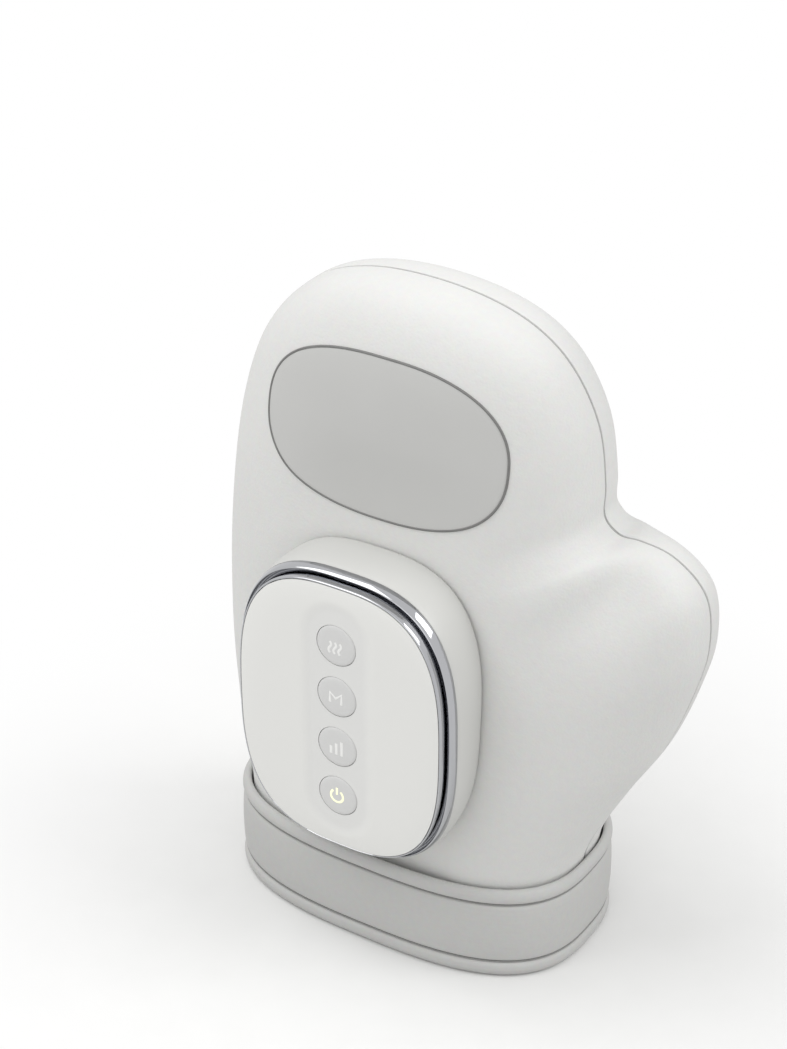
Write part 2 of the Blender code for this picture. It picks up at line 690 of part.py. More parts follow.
def panel_mesh(name, growth, outside, inside):
    """An oval patch that follows the front cover between two depths below its skin."""
    rings = [(share, outside) for share in PANEL_RINGS_SHARES]
    rings += [(share, inside) for share in reversed(PANEL_RINGS_SHARES)]
    bm = bmesh.new()
    bmesh.ops.create_grid(bm, x_segments=PANEL_SIDES, y_segments=len(rings) - 1, size=1.0)
    for vert in bm.verts:
        column = round((vert.co.x + 1) / 2 * PANEL_SIDES) % PANEL_SIDES
        share, depth = rings[round((vert.co.y + 1) / 2 * (len(rings) - 1))]
        turn = math.tau * column / PANEL_SIDES
        across, up = oval_point(PANEL_HALF_WIDTH + growth, PANEL_HALF_HEIGHT + growth, PANEL_POWER, turn)
        spot = Vector((PANEL_OFFSET + across * share, -FRONT_REACH, PANEL_HEIGHT + up * share))
        hit = SKIN_TREE.ray_cast(spot, Vector((0, 1, 0)))[0]
        vert.co = (spot.x, hit.y + depth, spot.z)
    bmesh.ops.triangulate(bm, faces=bm.faces[:], quad_method="FIXED")
    bmesh.ops.remove_doubles(bm, verts=bm.verts[:], dist=WELD)
    return finish(bm, name, ROUND_ANGLE)


place("oval_panel", panel_mesh("oval_panel", 0.0, 0.0, PANEL_THICKNESS), (0.50, 0.50, 0.49), 0.6, STAND)
recess_mesh = panel_mesh("panel_recess", FIT_GAP, -COVER_THICKNESS, PANEL_THICKNESS + FIT_GAP)
panel_recess = cutter("panel_recess", recess_mesh, STAND)
boolean(halves["front_cover"], panel_recess)

# Cuff: a band between two rolled edges; the lower one also floors the wall round the mouth
CUFF_COLOR = (0.47, 0.47, 0.46)
CUFF_OVAL = (FOOT_HALF_WIDTH + FIT_GAP, FOOT_HALF_DEPTH + SEAM_GAP / 2 + FIT_GAP, SECTION_POWER)
BAND_LOW = BOTTOM_ROLL_HEIGHT + FIT_GAP
BAND_HIGH = CUFF_HEIGHT - TOP_ROLL_HEIGHT - FIT_GAP
BAND_PROFILE = (
    (0.0, BAND_LOW),
    (-CUFF_THICKNESS, BAND_LOW),
    (-CUFF_THICKNESS - CUFF_BULGE, (BAND_LOW + BAND_HIGH) / 2),
    (-CUFF_THICKNESS, BAND_HIGH),
    (0.0, BAND_HIGH),
)
TOP_ROLL_SHARES = ((0.0, 0.0), (1.0, 0.0), (1.12, 0.35), (1.0, 0.72), (0.7, 0.95), (0.4, 1.0), (0.0, 0.85))
TOP_ROLL_FOOT = CUFF_HEIGHT - TOP_ROLL_HEIGHT
TOP_ROLL_PROFILE = [(-CUFF_THICKNESS * out, TOP_ROLL_FOOT + TOP_ROLL_HEIGHT * up)
                    for out, up in TOP_ROLL_SHARES]
BOTTOM_ROLL_SHARES = ((0.55, 0.0), (0.95, 0.12), (1.2, 0.5), (1.1, 0.85), (1.0, 1.0), (0.0, 1.0))
MOUTH_DRAWN_IN = FIT_GAP + WALL_DEPTH
BOTTOM_ROLL_PROFILE = [(MOUTH_DRAWN_IN, 0.0)]
BOTTOM_ROLL_PROFILE += [(-CUFF_THICKNESS * out, BOTTOM_ROLL_HEIGHT * up) for out, up in BOTTOM_ROLL_SHARES]
BOTTOM_ROLL_PROFILE += [(0.0, MOUTH_FLOOR_THICKNESS), (MOUTH_DRAWN_IN, MOUTH_FLOOR_THICKNESS)]
for title, profile in (
    ("cuff_band", BAND_PROFILE),
    ("cuff_top_roll", TOP_ROLL_PROFILE),
    ("cuff_bottom_roll", BOTTOM_ROLL_PROFILE),
):
    ring = oval_loft(title, profile, CUFF_OVAL, 4 * COVER_ROWS, False)
    place(title, ring, CUFF_COLOR, 0.7, STAND)

# Depths of the controller's own pieces, down to the inner seat in its leaning frame and the rest upright
BASE_BACK = -FIT_GAP
BASE_FRONT = BASE_BACK - BASE_THICKNESS
INNER_SEAT = BASE_FRONT - FIT_GAP
FACE_TOP = -CONTROLLER_THICKNESS
FACE_RIM = FACE_TOP + FACE_CROWN
FACE_BACK = FACE_TOP + FACE_THICKNESS
BEZEL_BACK = FACE_RIM + BEZEL_DEPTH
SHELL_FRONT = BEZEL_BACK + FIT_GAP
PILL_FLOOR = FACE_TOP + PILL_DEPTH
FLANGE_FRONT = FACE_BACK + FIT_GAP
STEM_END = FLANGE_FRONT + BUTTON_FLANGE_THICKNESS + BUTTON_STEM_LENGTH
KNOB_TOP = STEM_END + BUTTON_TRAVEL + BUTTON_SLOP
BOARD_FRONT = KNOB_TOP + DOME_HEIGHT + MAT_THICKNESS + FIT_GAP
BOARD_BACK = BOARD_FRONT + BOARD_THICKNESS
UNDER_BOARD = BOARD_BACK + FIT_GAP
PLATE_FRONT = COVER_THICKNESS + FIT_GAP
PLATE_BACK = PLATE_FRONT + PLATE_THICKNESS
BUTTON_HEIGHTS = [BUTTON_PITCH * step - BUTTON_COLUMN_DROP for step in BUTTON_STEPS]
OUTWARDS = (math.pi / 2, 0, 0)
RIB_SIZE_SHARE = 0.94
CONTROLLER_OVAL = (CONTROLLER_HALF_WIDTH, CONTROLLER_HALF_HEIGHT, CONTROLLER_POWER)
HOUSING_COLOR = (0.66, 0.65, 0.61)


def drawn_in_oval(inset):
    """The controller's outline drawn in, as half width, half height and power."""
    return CONTROLLER_HALF_WIDTH - inset, CONTROLLER_HALF_HEIGHT - inset, CONTROLLER_POWER


# Controller shell, a wedge with screw bosses and a slot for the charging port
SHELL_PROFILE = (
    (SHELL_BACK_ROUND, BASE_BACK),
    (SHELL_BACK_ROUND / 3, BASE_BACK - SHELL_BACK_ROUND / 2),
    (0.0, BASE_BACK - SHELL_BACK_ROUND * 1.5),
    (-SHELL_BELLY, between(BASE_BACK, SHELL_FRONT, 0.5)),
    (0.0, SHELL_FRONT),
    (SHELL_WALL, SHELL_FRONT),
    (SHELL_WALL, BASE_BACK - SHELL_BACK_ROUND * 1.5),
    (SHELL_WALL + SHELL_BACK_ROUND / 2, BASE_BACK),
)
SHELL_LEAN_SHARES = (1.0, 1.0, 1.0, 0.5, 0.0, 0.0, 1.0, 1.0)
SHELL_SLOPES = [math.tan(LEAN) * share for share in SHELL_LEAN_SHARES]
shell_mesh = oval_loft("controller_shell", SHELL_PROFILE, CONTROLLER_OVAL, slopes=SHELL_SLOPES)
shell = place("controller_shell", shell_mesh, HOUSING_COLOR, 0.4, CONTROLLER)
SHELL_BOSS_PLACE = oval_point(*drawn_in_oval(SHELL_BOSS_INSET), SHELL_BOSS_TURN)
MOUNT_BOSS_PLACE = (SHELL_BOSS_PLACE[0] - MOUNT_BOSS_SPACING, SHELL_BOSS_PLACE[1])
for title, place_across_up, size_share in (
    ("shell_bosses", SHELL_BOSS_PLACE, 1.0),
    ("shell_ribs", oval_point(*drawn_in_oval(SHELL_RIB_INSET), SHELL_BOSS_TURN), RIB_SIZE_SHARE),
):
    boss_end = INNER_SEAT - SHELL_BOSS_LENGTH * size_share
    rods = [(BOSS_DIAMETER / 2 * size_share, boss_end, INNER_SEAT, "y", spot)
            for spot in corners(place_across_up)]
    boolean(shell, cutter(title, rods_mesh(title, rods, SCREW_SIDES), SEAT), "UNION")
SCREW_HOLE_RADIUS = SCREW_DIAMETER / 2 + SCREW_CLEARANCE
HEAD_HOLE_RADIUS = SCREW_HEAD_DIAMETER / 2 + SCREW_CLEARANCE
SHELL_SCREW_HEAD = BASE_BACK
SHELL_SCREW_NECK = SHELL_SCREW_HEAD - SCREW_HEAD_THICKNESS
SHELL_SCREW_TIP = INNER_SEAT - SCREW_BITE - FIT_GAP
screw_hole_rods = [(SCREW_HOLE_RADIUS, SHELL_SCREW_TIP - FIT_GAP, CUT_OVERRUN, "y", spot)
                   for spot in corners(SHELL_BOSS_PLACE)]
screw_holes_mesh = rods_mesh("shell_screw_holes", screw_hole_rods, SCREW_SIDES)
shell_screw_holes = cutter("shell_screw_holes", screw_holes_mesh, SEAT)
boolean(shell, shell_screw_holes)
PORT_MIDDLE = UNDER_BOARD + PORT_DEPTH / 2
PORT_END = -CONTROLLER_HALF_HEIGHT + SHELL_WALL / 2
PORT_CENTRE = (0, PORT_MIDDLE, PORT_END + PORT_LENGTH / 2)
SLOT_SIZES = (PORT_WIDTH + 2 * FIT_GAP, PORT_DEPTH + 2 * FIT_GAP, PORT_LENGTH)
port_slot = cutter("port_slot", block_mesh("port_slot", SLOT_SIZES, (0, PORT_MIDDLE, PORT_END)), CONTROLLER)
boolean(shell, port_slot)

# Controller base: a plate with bosses for the board and for the screws from inside the mitten
BASE_OVAL = drawn_in_oval(SHELL_WALL + SHELL_BACK_ROUND / 2 + FIT_GAP)
base_outline = [oval_point(*BASE_OVAL, math.tau * step / RING_SIDES) for step in range(RING_SIDES)]
base_plate = plate_mesh("controller_base", [base_outline], BASE_FRONT, BASE_BACK)
base = place("controller_base", base_plate, HOUSING_COLOR, 0.5, SEAT)
BASE_MIDDLE = (BASE_FRONT + BASE_BACK) / 2
board_rods = [(BOSS_DIAMETER / 2, UNDER_BOARD, BASE_MIDDLE + spot[1] * math.tan(LEAN), "y", spot)
              for spot in corners(BOARD_BOSS_PLACE)]
board_bosses = cutter("board_bosses", rods_mesh("board_bosses", board_rods, SCREW_SIDES), CONTROLLER)
boolean(base, board_bosses, "UNION")
mount_bosses = [(BOSS_DIAMETER / 2, BASE_FRONT - MOUNT_BOSS_LENGTH, BASE_MIDDLE, "y", spot)
                for spot in corners(MOUNT_BOSS_PLACE)]
boolean(base, cutter("mount_bosses", rods_mesh("mount_bosses", mount_bosses, SCREW_SIDES), SEAT), "UNION")
boolean(base, shell_screw_holes)
head_pockets = [(HEAD_HOLE_RADIUS, SHELL_SCREW_NECK - FIT_GAP, CUT_OVERRUN, "y", spot)
                for spot in corners(SHELL_BOSS_PLACE)]
boolean(base, cutter("base_head_pockets", rods_mesh("base_head_pockets", head_pockets, SCREW_SIDES), SEAT))

# Passages for screws, tubes and the lead, straight through base, cover and plate
MOUNT_SCREW_TIP = BASE_FRONT - MOUNT_BOSS_LENGTH + 2 * FIT_GAP + SCREW_HEAD_THICKNESS / 2
PASSAGE_END = PLATE_BACK + CUT_OVERRUN
TUBE_PASSAGE = TUBE_DIAMETER / 2 + PASSAGE_GAP
LEAD_PASSAGE = LEAD_DIAMETER / 2 + PASSAGE_GAP
passage_rods = [(SCREW_HOLE_RADIUS, MOUNT_SCREW_TIP - FIT_GAP, PASSAGE_END, "y", spot)
                for spot in corners(MOUNT_BOSS_PLACE)]
for radius, spot in (
    (TUBE_PASSAGE, (0.0, OUTLET_HEIGHT)),
    (TUBE_PASSAGE, (-BACK_TUBE_OFFSET, -BACK_TUBE_DROP)),
    (LEAD_PASSAGE, (BACK_TUBE_OFFSET, -BACK_TUBE_DROP)),
):
    passage_rods.append((radius, BASE_FRONT - CUT_OVERRUN, PASSAGE_END, "y", spot))
passages = cutter("passages", rods_mesh("passages", passage_rods, SCREW_SIDES), SEAT)
boolean(base, passages)
boolean(halves["front_cover"], passages)

# Mounting plate inside the cover, and the screws that pull the controller to it
PLATE_MARGIN = 0.0050
PLATE_HALF_SIZES = [reach + PLATE_MARGIN for reach in MOUNT_BOSS_PLACE]
plate_outline = rounded_rectangle(*PLATE_HALF_SIZES, PLATE_MARGIN)
inner_plate = plate_mesh("mounting_plate", [plate_outline], PLATE_FRONT, PLATE_BACK)
mounting_plate = place("mounting_plate", inner_plate, (0.30, 0.31, 0.32), 0.5, SEAT)
boolean(mounting_plate, passages)
MOUNT_SCREW_NECK = PLATE_BACK - SCREW_HEAD_THICKNESS
plate_pockets = [(HEAD_HOLE_RADIUS, MOUNT_SCREW_NECK - FIT_GAP, PASSAGE_END, "y", spot)
                 for spot in corners(MOUNT_BOSS_PLACE)]
pockets = cutter("plate_pockets", rods_mesh("plate_pockets", plate_pockets, SCREW_SIDES), SEAT)
boolean(mounting_plate, pockets)
STEEL = (0.45, 0.45, 0.46)


def screws(name, spots, head_depth, neck_depth, tip_depth, parent):
    """A set of like screws along Y, one sub-part each, from the outer end of the head to the tip."""
    forwards = 1 if head_depth > tip_depth else -1
    profile = (
        (0.0, 0.0),
        (SCREW_HEAD_DIAMETER / 2, 0.0),
        (SCREW_HEAD_DIAMETER / 2, -abs(head_depth - neck_depth)),
        (SCREW_DIAMETER / 2, -abs(head_depth - neck_depth)),
        (SCREW_DIAMETER / 2, -abs(head_depth - tip_depth)),
        (0.0, -abs(head_depth - tip_depth)),
    )
    for across, up in spots:
        title = f"{name}_{'upper' if up > 0 else 'lower'}_{'right' if across > 0 else 'left'}"
        screw = turned_mesh(title, profile, SCREW_SIDES)
        turned = (-forwards * math.pi / 2, 0, 0)
        place(title, screw, STEEL, 0.3, parent, 1.0, (across, head_depth, up), turned)


screws("mounting_screw", corners(MOUNT_BOSS_PLACE), PLATE_BACK, MOUNT_SCREW_NECK, MOUNT_SCREW_TIP, SEAT)
screws("housing_screw", corners(SHELL_BOSS_PLACE), SHELL_SCREW_HEAD, SHELL_SCREW_NECK, SHELL_SCREW_TIP, SEAT)

# Chrome bezel: a convex ring whose lip holds the face plate
BEZEL_STEPS = 4
BEZEL_ARC = [oval_point(BEZEL_WIDTH, BEZEL_DEPTH, BEZEL_POWER, math.pi / 2 * step / BEZEL_STEPS)
             for step in range(BEZEL_STEPS + 1)]
BEZEL_PROFILE = [(BEZEL_WIDTH - inside, BEZEL_BACK - forwards) for inside, forwards in BEZEL_ARC]
BEZEL_PROFILE += [
    (BEZEL_WIDTH, FACE_BACK + FIT_GAP),
    (BEZEL_WIDTH + BEZEL_LIP, FACE_BACK + FIT_GAP),
    (BEZEL_WIDTH + BEZEL_LIP, FACE_BACK + FIT_GAP + BEZEL_LIP),
    (BEZEL_WALL, BEZEL_BACK),
]
bezel_mesh = oval_loft("chrome_bezel", BEZEL_PROFILE, CONTROLLER_OVAL)
place("chrome_bezel", bezel_mesh, (0.45, 0.45, 0.47), 0.06, CONTROLLER, 1.0)

# Face plate: a low crown with a sunk pill and four round holes
FACE_OVAL = drawn_in_oval(BEZEL_WIDTH + FIT_GAP)
FACE_PROFILE = [(None, FACE_TOP)]
FACE_PROFILE += [(FACE_OVAL[0] * inwards, FACE_TOP + FACE_CROWN * down) for inwards, down in FACE_SHARES]
FACE_PROFILE += [(0.0, FACE_BACK), (None, FACE_BACK)]
face_mesh = oval_loft("face_plate", FACE_PROFILE, FACE_OVAL)
face_plate = place("face_plate", face_mesh, (0.80, 0.80, 0.78), 0.12, CONTROLLER)
pill_ring = rounded_rectangle(PILL_HALF_WIDTH, PILL_HALF_HEIGHT, PILL_HALF_WIDTH, FINE_SIDES // 2)
pill_outline = [(across, up - BUTTON_COLUMN_DROP) for across, up in pill_ring]
pill_plate = plate_mesh("pill_recess", [pill_outline], FACE_TOP - CUT_OVERRUN, PILL_FLOOR)
boolean(face_plate, cutter("pill_recess", pill_plate, CONTROLLER))
HOLE_RADIUS = BUTTON_DIAMETER / 2 + FIT_GAP
button_holes = [(HOLE_RADIUS, FACE_TOP - CUT_OVERRUN, FACE_BACK + CUT_OVERRUN, "y", (0.0, height))
                for height in BUTTON_HEIGHTS]
boolean(face_plate, cutter("button_holes", rods_mesh("button_holes", button_holes), CONTROLLER))

# Buttons, each on its own slide
CAP_TOP = BUTTON_PROUD
FLANGE_TOP = PILL_FLOOR - FLANGE_FRONT
FLANGE_FOOT = FLANGE_TOP - BUTTON_FLANGE_THICKNESS
BUTTON_PROFILE = (
    (0.0, CAP_TOP),
    (BUTTON_DIAMETER / 2 - BUTTON_EDGE, CAP_TOP),
    (BUTTON_DIAMETER / 2, CAP_TOP - BUTTON_EDGE),
    (BUTTON_DIAMETER / 2, FLANGE_TOP),
    (BUTTON_FLANGE_DIAMETER / 2, FLANGE_TOP),
    (BUTTON_FLANGE_DIAMETER / 2, FLANGE_FOOT),
    (BUTTON_STEM_DIAMETER / 2, FLANGE_FOOT),
    (BUTTON_STEM_DIAMETER / 2, FLANGE_FOOT - BUTTON_STEM_LENGTH),
    (0.0, FLANGE_FOOT - BUTTON_STEM_LENGTH),
)
BUTTON_NAMES = ("heat_button", "mode_button", "intensity_button", "power_button")
for title, height in zip(BUTTON_NAMES, BUTTON_HEIGHTS):
    place(title, turned_mesh(title, BUTTON_PROFILE), (0.62, 0.62, 0.60), 0.35, CONTROLLER,
          location=(0, PILL_FLOOR, height), rotation=OUTWARDS)

# Circuit board, its screws, and what it carries
BOARD_OUTLINE = rounded_rectangle(BOARD_HALF_WIDTH, BOARD_HALF_HEIGHT, BOARD_CORNER)
BOARD_HOLES = [circle(SCREW_HOLE_RADIUS, spot) for spot in BOARD_SPOTS]
place("main_board", plate_mesh("main_board", [BOARD_OUTLINE, *BOARD_HOLES], BOARD_FRONT, BOARD_BACK),
      (0.03, 0.20, 0.10), 0.5, CONTROLLER)
BOARD_SCREW_TIP = BOARD_BACK + SCREW_BITE
board_bores = [(SCREW_HOLE_RADIUS, BOARD_BACK, BOARD_SCREW_TIP + FIT_GAP, "y", spot)
               for spot in BOARD_SPOTS]
boolean(base, cutter("board_bores", rods_mesh("board_bores", board_bores, SCREW_SIDES), CONTROLLER))
BOARD_HEAD = BOARD_FRONT - FIT_GAP - SCREW_HEAD_THICKNESS
screws("board_screw", BOARD_SPOTS, BOARD_HEAD, BOARD_FRONT - FIT_GAP, BOARD_SCREW_TIP, CONTROLLER)
MAT_BACK = BOARD_FRONT - FIT_GAP
MAT_FRONT = MAT_BACK - MAT_THICKNESS
mat_mesh = block_mesh("key_mat", (2 * MAT_HALF_WIDTH, MAT_THICKNESS, 2 * MAT_HALF_HEIGHT),
                      (0, (MAT_FRONT + MAT_BACK) / 2, -BUTTON_COLUMN_DROP))
key_mat = place("key_mat", mat_mesh, (0.45, 0.46, 0.47), 0.7, CONTROLLER)
bm = bmesh.new()
for height in BUTTON_HEIGHTS:
    add_rod(bm, DOME_DIAMETER / 2 * DOME_TOP_SHARE, KNOB_TOP, (MAT_FRONT + MAT_BACK) / 2, "y", (0, height),
            FINE_SIDES, DOME_DIAMETER / 2)
boolean(key_mat, cutter("key_domes", finish(bm, "key_domes"), CONTROLLER), "UNION")
buzzer_rod = (BUZZER_DIAMETER / 2, UNDER_BOARD, UNDER_BOARD + BUZZER_THICKNESS, "y", BUZZER_PLACE)
place("buzzer", rods_mesh("buzzer", [buzzer_rod]), (0.05, 0.05, 0.05), 0.4, CONTROLLER)
LEAD_DEPTH = UNDER_BOARD + PLUG_SIZE[1] / 2
plug_mesh = block_mesh("heater_plug", PLUG_SIZE, (PLUG_PLACE[0], LEAD_DEPTH, PLUG_PLACE[1]), PORT_WALL)
place("heater_plug", plug_mesh, (0.85, 0.85, 0.80), 0.5, CONTROLLER)

# Charging port: a flat metal sleeve at the controller's lower end, with a tongue inside
PORT_SIZES = (PORT_WIDTH, PORT_DEPTH, PORT_LENGTH)
port_mesh = block_mesh("charging_port", PORT_SIZES, PORT_CENTRE)
port = place("charging_port", port_mesh, (0.6, 0.6, 0.6), 0.3, CONTROLLER, 1.0)
MOUTH_SIZES = (PORT_WIDTH - 2 * PORT_WALL, PORT_DEPTH - 2 * PORT_WALL, PORT_LENGTH)
MOUTH_CENTRE = (0, PORT_MIDDLE, PORT_CENTRE[2] - 2 * PORT_WALL)
boolean(port, cutter("port_mouth", block_mesh("port_mouth", MOUTH_SIZES, MOUTH_CENTRE), CONTROLLER))
TONGUE_SHARES = (0.7, 0.25, 0.7)
TONGUE_SIZES = [size * share for size, share in zip(PORT_SIZES, TONGUE_SHARES)]
TONGUE_CENTRE = (0, PORT_MIDDLE, PORT_END + PORT_LENGTH - PORT_WALL - TONGUE_SIZES[2] / 2)
tongue = cutter("port_tongue", block_mesh("port_tongue", TONGUE_SIZES, TONGUE_CENTRE), CONTROLLER)
boolean(port, tongue, "UNION")

# Battery cell upright in its holder
CELL_PROFILE = (
    (0.0, CELL_LENGTH / 2 + CELL_CAP_HEIGHT),
    (CELL_CAP_DIAMETER / 2, CELL_LENGTH / 2 + CELL_CAP_HEIGHT),
    (CELL_CAP_DIAMETER / 2, CELL_LENGTH / 2),
    (CELL_DIAMETER / 2, CELL_LENGTH / 2),
    (CELL_DIAMETER / 2, -CELL_LENGTH / 2),
    (0.0, -CELL_LENGTH / 2),
)
place("battery_cell", turned_mesh("battery_cell", CELL_PROFILE), (0.10, 0.25, 0.45), 0.4, SEAT,
      location=(CELL_OFFSET, -CELL_DEPTH, 0))


def saddle(name, width, depth, length, across, low, trough, color):
    """A block on the base with a round trough for the cylinder that lies in it."""
    middle = (across, INNER_SEAT - depth / 2, low + length / 2)
    block = place(name, block_mesh(name, (width, depth, length), middle), color, 0.8, SEAT)
    radius, trough_depth = trough
    rod = (radius + FIT_GAP, low - CUT_OVERRUN, low + length + CUT_OVERRUN, "z", (across, -trough_depth))
    boolean(block, cutter(f"{name}_trough", rods_mesh(f"{name}_trough", [rod]), SEAT))


saddle("battery_holder", HOLDER_WIDTH, HOLDER_DEPTH, HOLDER_LENGTH, CELL_OFFSET, -HOLDER_LENGTH / 2,
       (CELL_DIAMETER / 2, CELL_DEPTH), (0.12, 0.12, 0.12))
saddle("pump_cradle", CRADLE_WIDTH, CRADLE_DEPTH, CRADLE_LENGTH, -PUMP_OFFSET, PUMP_FOOT + SHAFT_SINK / 2,
       (MOTOR_DIAMETER / 2, PUMP_DEPTH), (0.12, 0.12, 0.12))

# Air pump: motor, crank and rubber diaphragm in one stack
PUMP_PLACE = (-PUMP_OFFSET, -PUMP_DEPTH, 0)
MOTOR_TOP = PUMP_FOOT + MOTOR_LENGTH
BORE_RADIUS = SHAFT_DIAMETER / 2 + SHAFT_CLEARANCE
MOTOR_PROFILE = (
    (0.0, MOTOR_TOP - SHAFT_SINK),
    (BORE_RADIUS, MOTOR_TOP - SHAFT_SINK),
    (BORE_RADIUS, MOTOR_TOP),
    (MOTOR_DIAMETER / 2, MOTOR_TOP),
    (MOTOR_DIAMETER / 2, PUMP_FOOT),
    (0.0, PUMP_FOOT),
)
place("motor_can", turned_mesh("motor_can", MOTOR_PROFILE), STEEL, 0.3, SEAT, 1.0, PUMP_PLACE)
HOUSING_FOOT = MOTOR_TOP + FIT_GAP
ECCENTRIC_FOOT = HOUSING_FOOT + PUMP_WALL + FIT_GAP
ECCENTRIC_TOP = ECCENTRIC_FOOT + ECCENTRIC_THICKNESS
CRANK_TOP = ECCENTRIC_TOP + CRANK_LENGTH
CUPS_FOOT = CRANK_TOP + FIT_GAP
DIAPHRAGM_FOOT = CUPS_FOOT + CUP_HEIGHT
HOUSING_TOP = DIAPHRAGM_FOOT - FIT_GAP
HOUSING_PROFILE = (
    (PUMP_DIAMETER / 2 - PUMP_WALL, HOUSING_TOP),
    (PUMP_DIAMETER / 2, HOUSING_TOP),
    (PUMP_DIAMETER / 2, HOUSING_FOOT),
    (SHAFT_DIAMETER, HOUSING_FOOT),
    (SHAFT_DIAMETER, HOUSING_FOOT + PUMP_WALL),
    (PUMP_DIAMETER / 2 - PUMP_WALL, HOUSING_FOOT + PUMP_WALL),
)
place("pump_housing", turned_mesh("pump_housing", HOUSING_PROFILE), (0.75, 0.75, 0.72), 0.5, SEAT,
      location=PUMP_PLACE)
SHAFT_FOOT = MOTOR_TOP - SHAFT_SINK + FIT_GAP
SHAFT_TOP = ECCENTRIC_TOP - FIT_GAP
shaft_rod = (SHAFT_DIAMETER / 2, SHAFT_FOOT, SHAFT_TOP, "z", (0, 0))
place("motor_shaft", rods_mesh("motor_shaft", [shaft_rod], FINE_SIDES), STEEL, 0.2, SEAT, 1.0, PUMP_PLACE)
ECCENTRIC_BORE = SHAFT_DIAMETER / 2 + FIT_GAP
ECCENTRIC_PROFILE = (
    (ECCENTRIC_BORE, ECCENTRIC_TOP),
    (ECCENTRIC_DIAMETER / 2, ECCENTRIC_TOP),
    (ECCENTRIC_DIAMETER / 2, ECCENTRIC_FOOT),
    (ECCENTRIC_BORE, ECCENTRIC_FOOT),
)
eccentric = place("eccentric", turned_mesh("eccentric", ECCENTRIC_PROFILE), (0.80, 0.78, 0.70), 0.5, SEAT,
                  location=PUMP_PLACE)
crank_rod = (CRANK_DIAMETER / 2, ECCENTRIC_TOP - ECCENTRIC_THICKNESS / 2, CRANK_TOP, "z", (CRANK_OFFSET, 0))
boolean(eccentric, cutter("crank_pin", rods_mesh("crank_pin", [crank_rod], FINE_SIDES), SEAT,
                          PUMP_PLACE), "UNION")
WOBBLE_HOLE = CRANK_OFFSET + CRANK_DIAMETER / 2 + FIT_GAP
WOBBLE_PROFILE = (
    (WOBBLE_HOLE, CRANK_TOP),
    (WOBBLE_DIAMETER / 2, CRANK_TOP),
    (WOBBLE_DIAMETER / 2, CRANK_TOP - WOBBLE_THICKNESS),
    (WOBBLE_HOLE, CRANK_TOP - WOBBLE_THICKNESS),
)
place("wobble_plate", turned_mesh("wobble_plate", WOBBLE_PROFILE), (0.75, 0.75, 0.70), 0.5, SEAT,
      location=PUMP_PLACE)
DIAPHRAGM_TOP = DIAPHRAGM_FOOT + DIAPHRAGM_THICKNESS
sheet_rod = (PUMP_DIAMETER / 2, DIAPHRAGM_FOOT, DIAPHRAGM_TOP, "z", (0, 0))
diaphragm = place("diaphragm", rods_mesh("diaphragm", [sheet_rod]), (0.15, 0.15, 0.16), 0.8, SEAT,
                  location=PUMP_PLACE)
CUP_PLACES = [(CUP_CIRCLE_RADIUS * math.cos(math.tau * step / CUP_COUNT),
               CUP_CIRCLE_RADIUS * math.sin(math.tau * step / CUP_COUNT)) for step in range(CUP_COUNT)]
cup_rods = [(CUP_DIAMETER / 2, CUPS_FOOT, DIAPHRAGM_FOOT + DIAPHRAGM_THICKNESS / 2, "z", spot)
            for spot in CUP_PLACES]
cups = cutter("diaphragm_cups", rods_mesh("diaphragm_cups", cup_rods, FINE_SIDES), SEAT, PUMP_PLACE)
boolean(diaphragm, cups, "UNION")
VALVE_PLATE_FOOT = DIAPHRAGM_TOP + FIT_GAP
VALVE_PLATE_TOP = VALVE_PLATE_FOOT + VALVE_PLATE_THICKNESS
valve_rings = [circle(PUMP_DIAMETER / 2, sides=ROUND_SIDES)]
valve_rings += [circle(VALVE_HOLE_DIAMETER / 2, spot, FINE_SIDES // 2) for spot in CUP_PLACES]
valve_disc = plate_mesh("valve_plate", valve_rings, VALVE_PLATE_FOOT, VALVE_PLATE_TOP, False)
place("valve_plate", valve_disc, (0.70, 0.72, 0.72), 0.5, SEAT, location=PUMP_PLACE)
CAP_FOOT = VALVE_PLATE_TOP + FIT_GAP
PUMP_TOP = CAP_FOOT + PUMP_CAP_THICKNESS
NOZZLE_TOP = PUMP_TOP + NOZZLE_LENGTH
PUMP_CAP_PROFILE = (
    (NOZZLE_BORE / 2, NOZZLE_TOP),
    (NOZZLE_DIAMETER / 2, NOZZLE_TOP),
    (NOZZLE_DIAMETER / 2, PUMP_TOP),
    (PUMP_DIAMETER / 2, PUMP_TOP),
    (PUMP_DIAMETER / 2, CAP_FOOT),
    (NOZZLE_BORE / 2, CAP_FOOT),
)
place("pump_cap", turned_mesh("pump_cap", PUMP_CAP_PROFILE), (0.75, 0.75, 0.72), 0.5, SEAT,
      location=PUMP_PLACE)

# Two release valves with sprung plungers
VALVE_PROFILE = (
    (0.0, VALVE_FLOOR),
    (VALVE_BORE / 2, VALVE_FLOOR),
    (VALVE_BORE / 2, VALVE_LENGTH),
    (VALVE_DIAMETER / 2, VALVE_LENGTH),
    (VALVE_DIAMETER / 2, 0.0),
    (0.0, 0.0),
)
PLUNGER_NECK = VALVE_LENGTH + PLUNGER_TRAVEL + FIT_GAP
PLUNGER_PROFILE = (
    (0.0, PLUNGER_NECK + PLUNGER_HEAD_THICKNESS),
    (PLUNGER_HEAD_DIAMETER / 2, PLUNGER_NECK + PLUNGER_HEAD_THICKNESS),
    (PLUNGER_HEAD_DIAMETER / 2, PLUNGER_NECK),
    (PLUNGER_DIAMETER / 2, PLUNGER_NECK),
    (PLUNGER_DIAMETER / 2, VALVE_FLOOR + PLUNGER_TRAVEL + FIT_GAP),
    (0.0, VALVE_FLOOR + PLUNGER_TRAVEL + FIT_GAP),
)
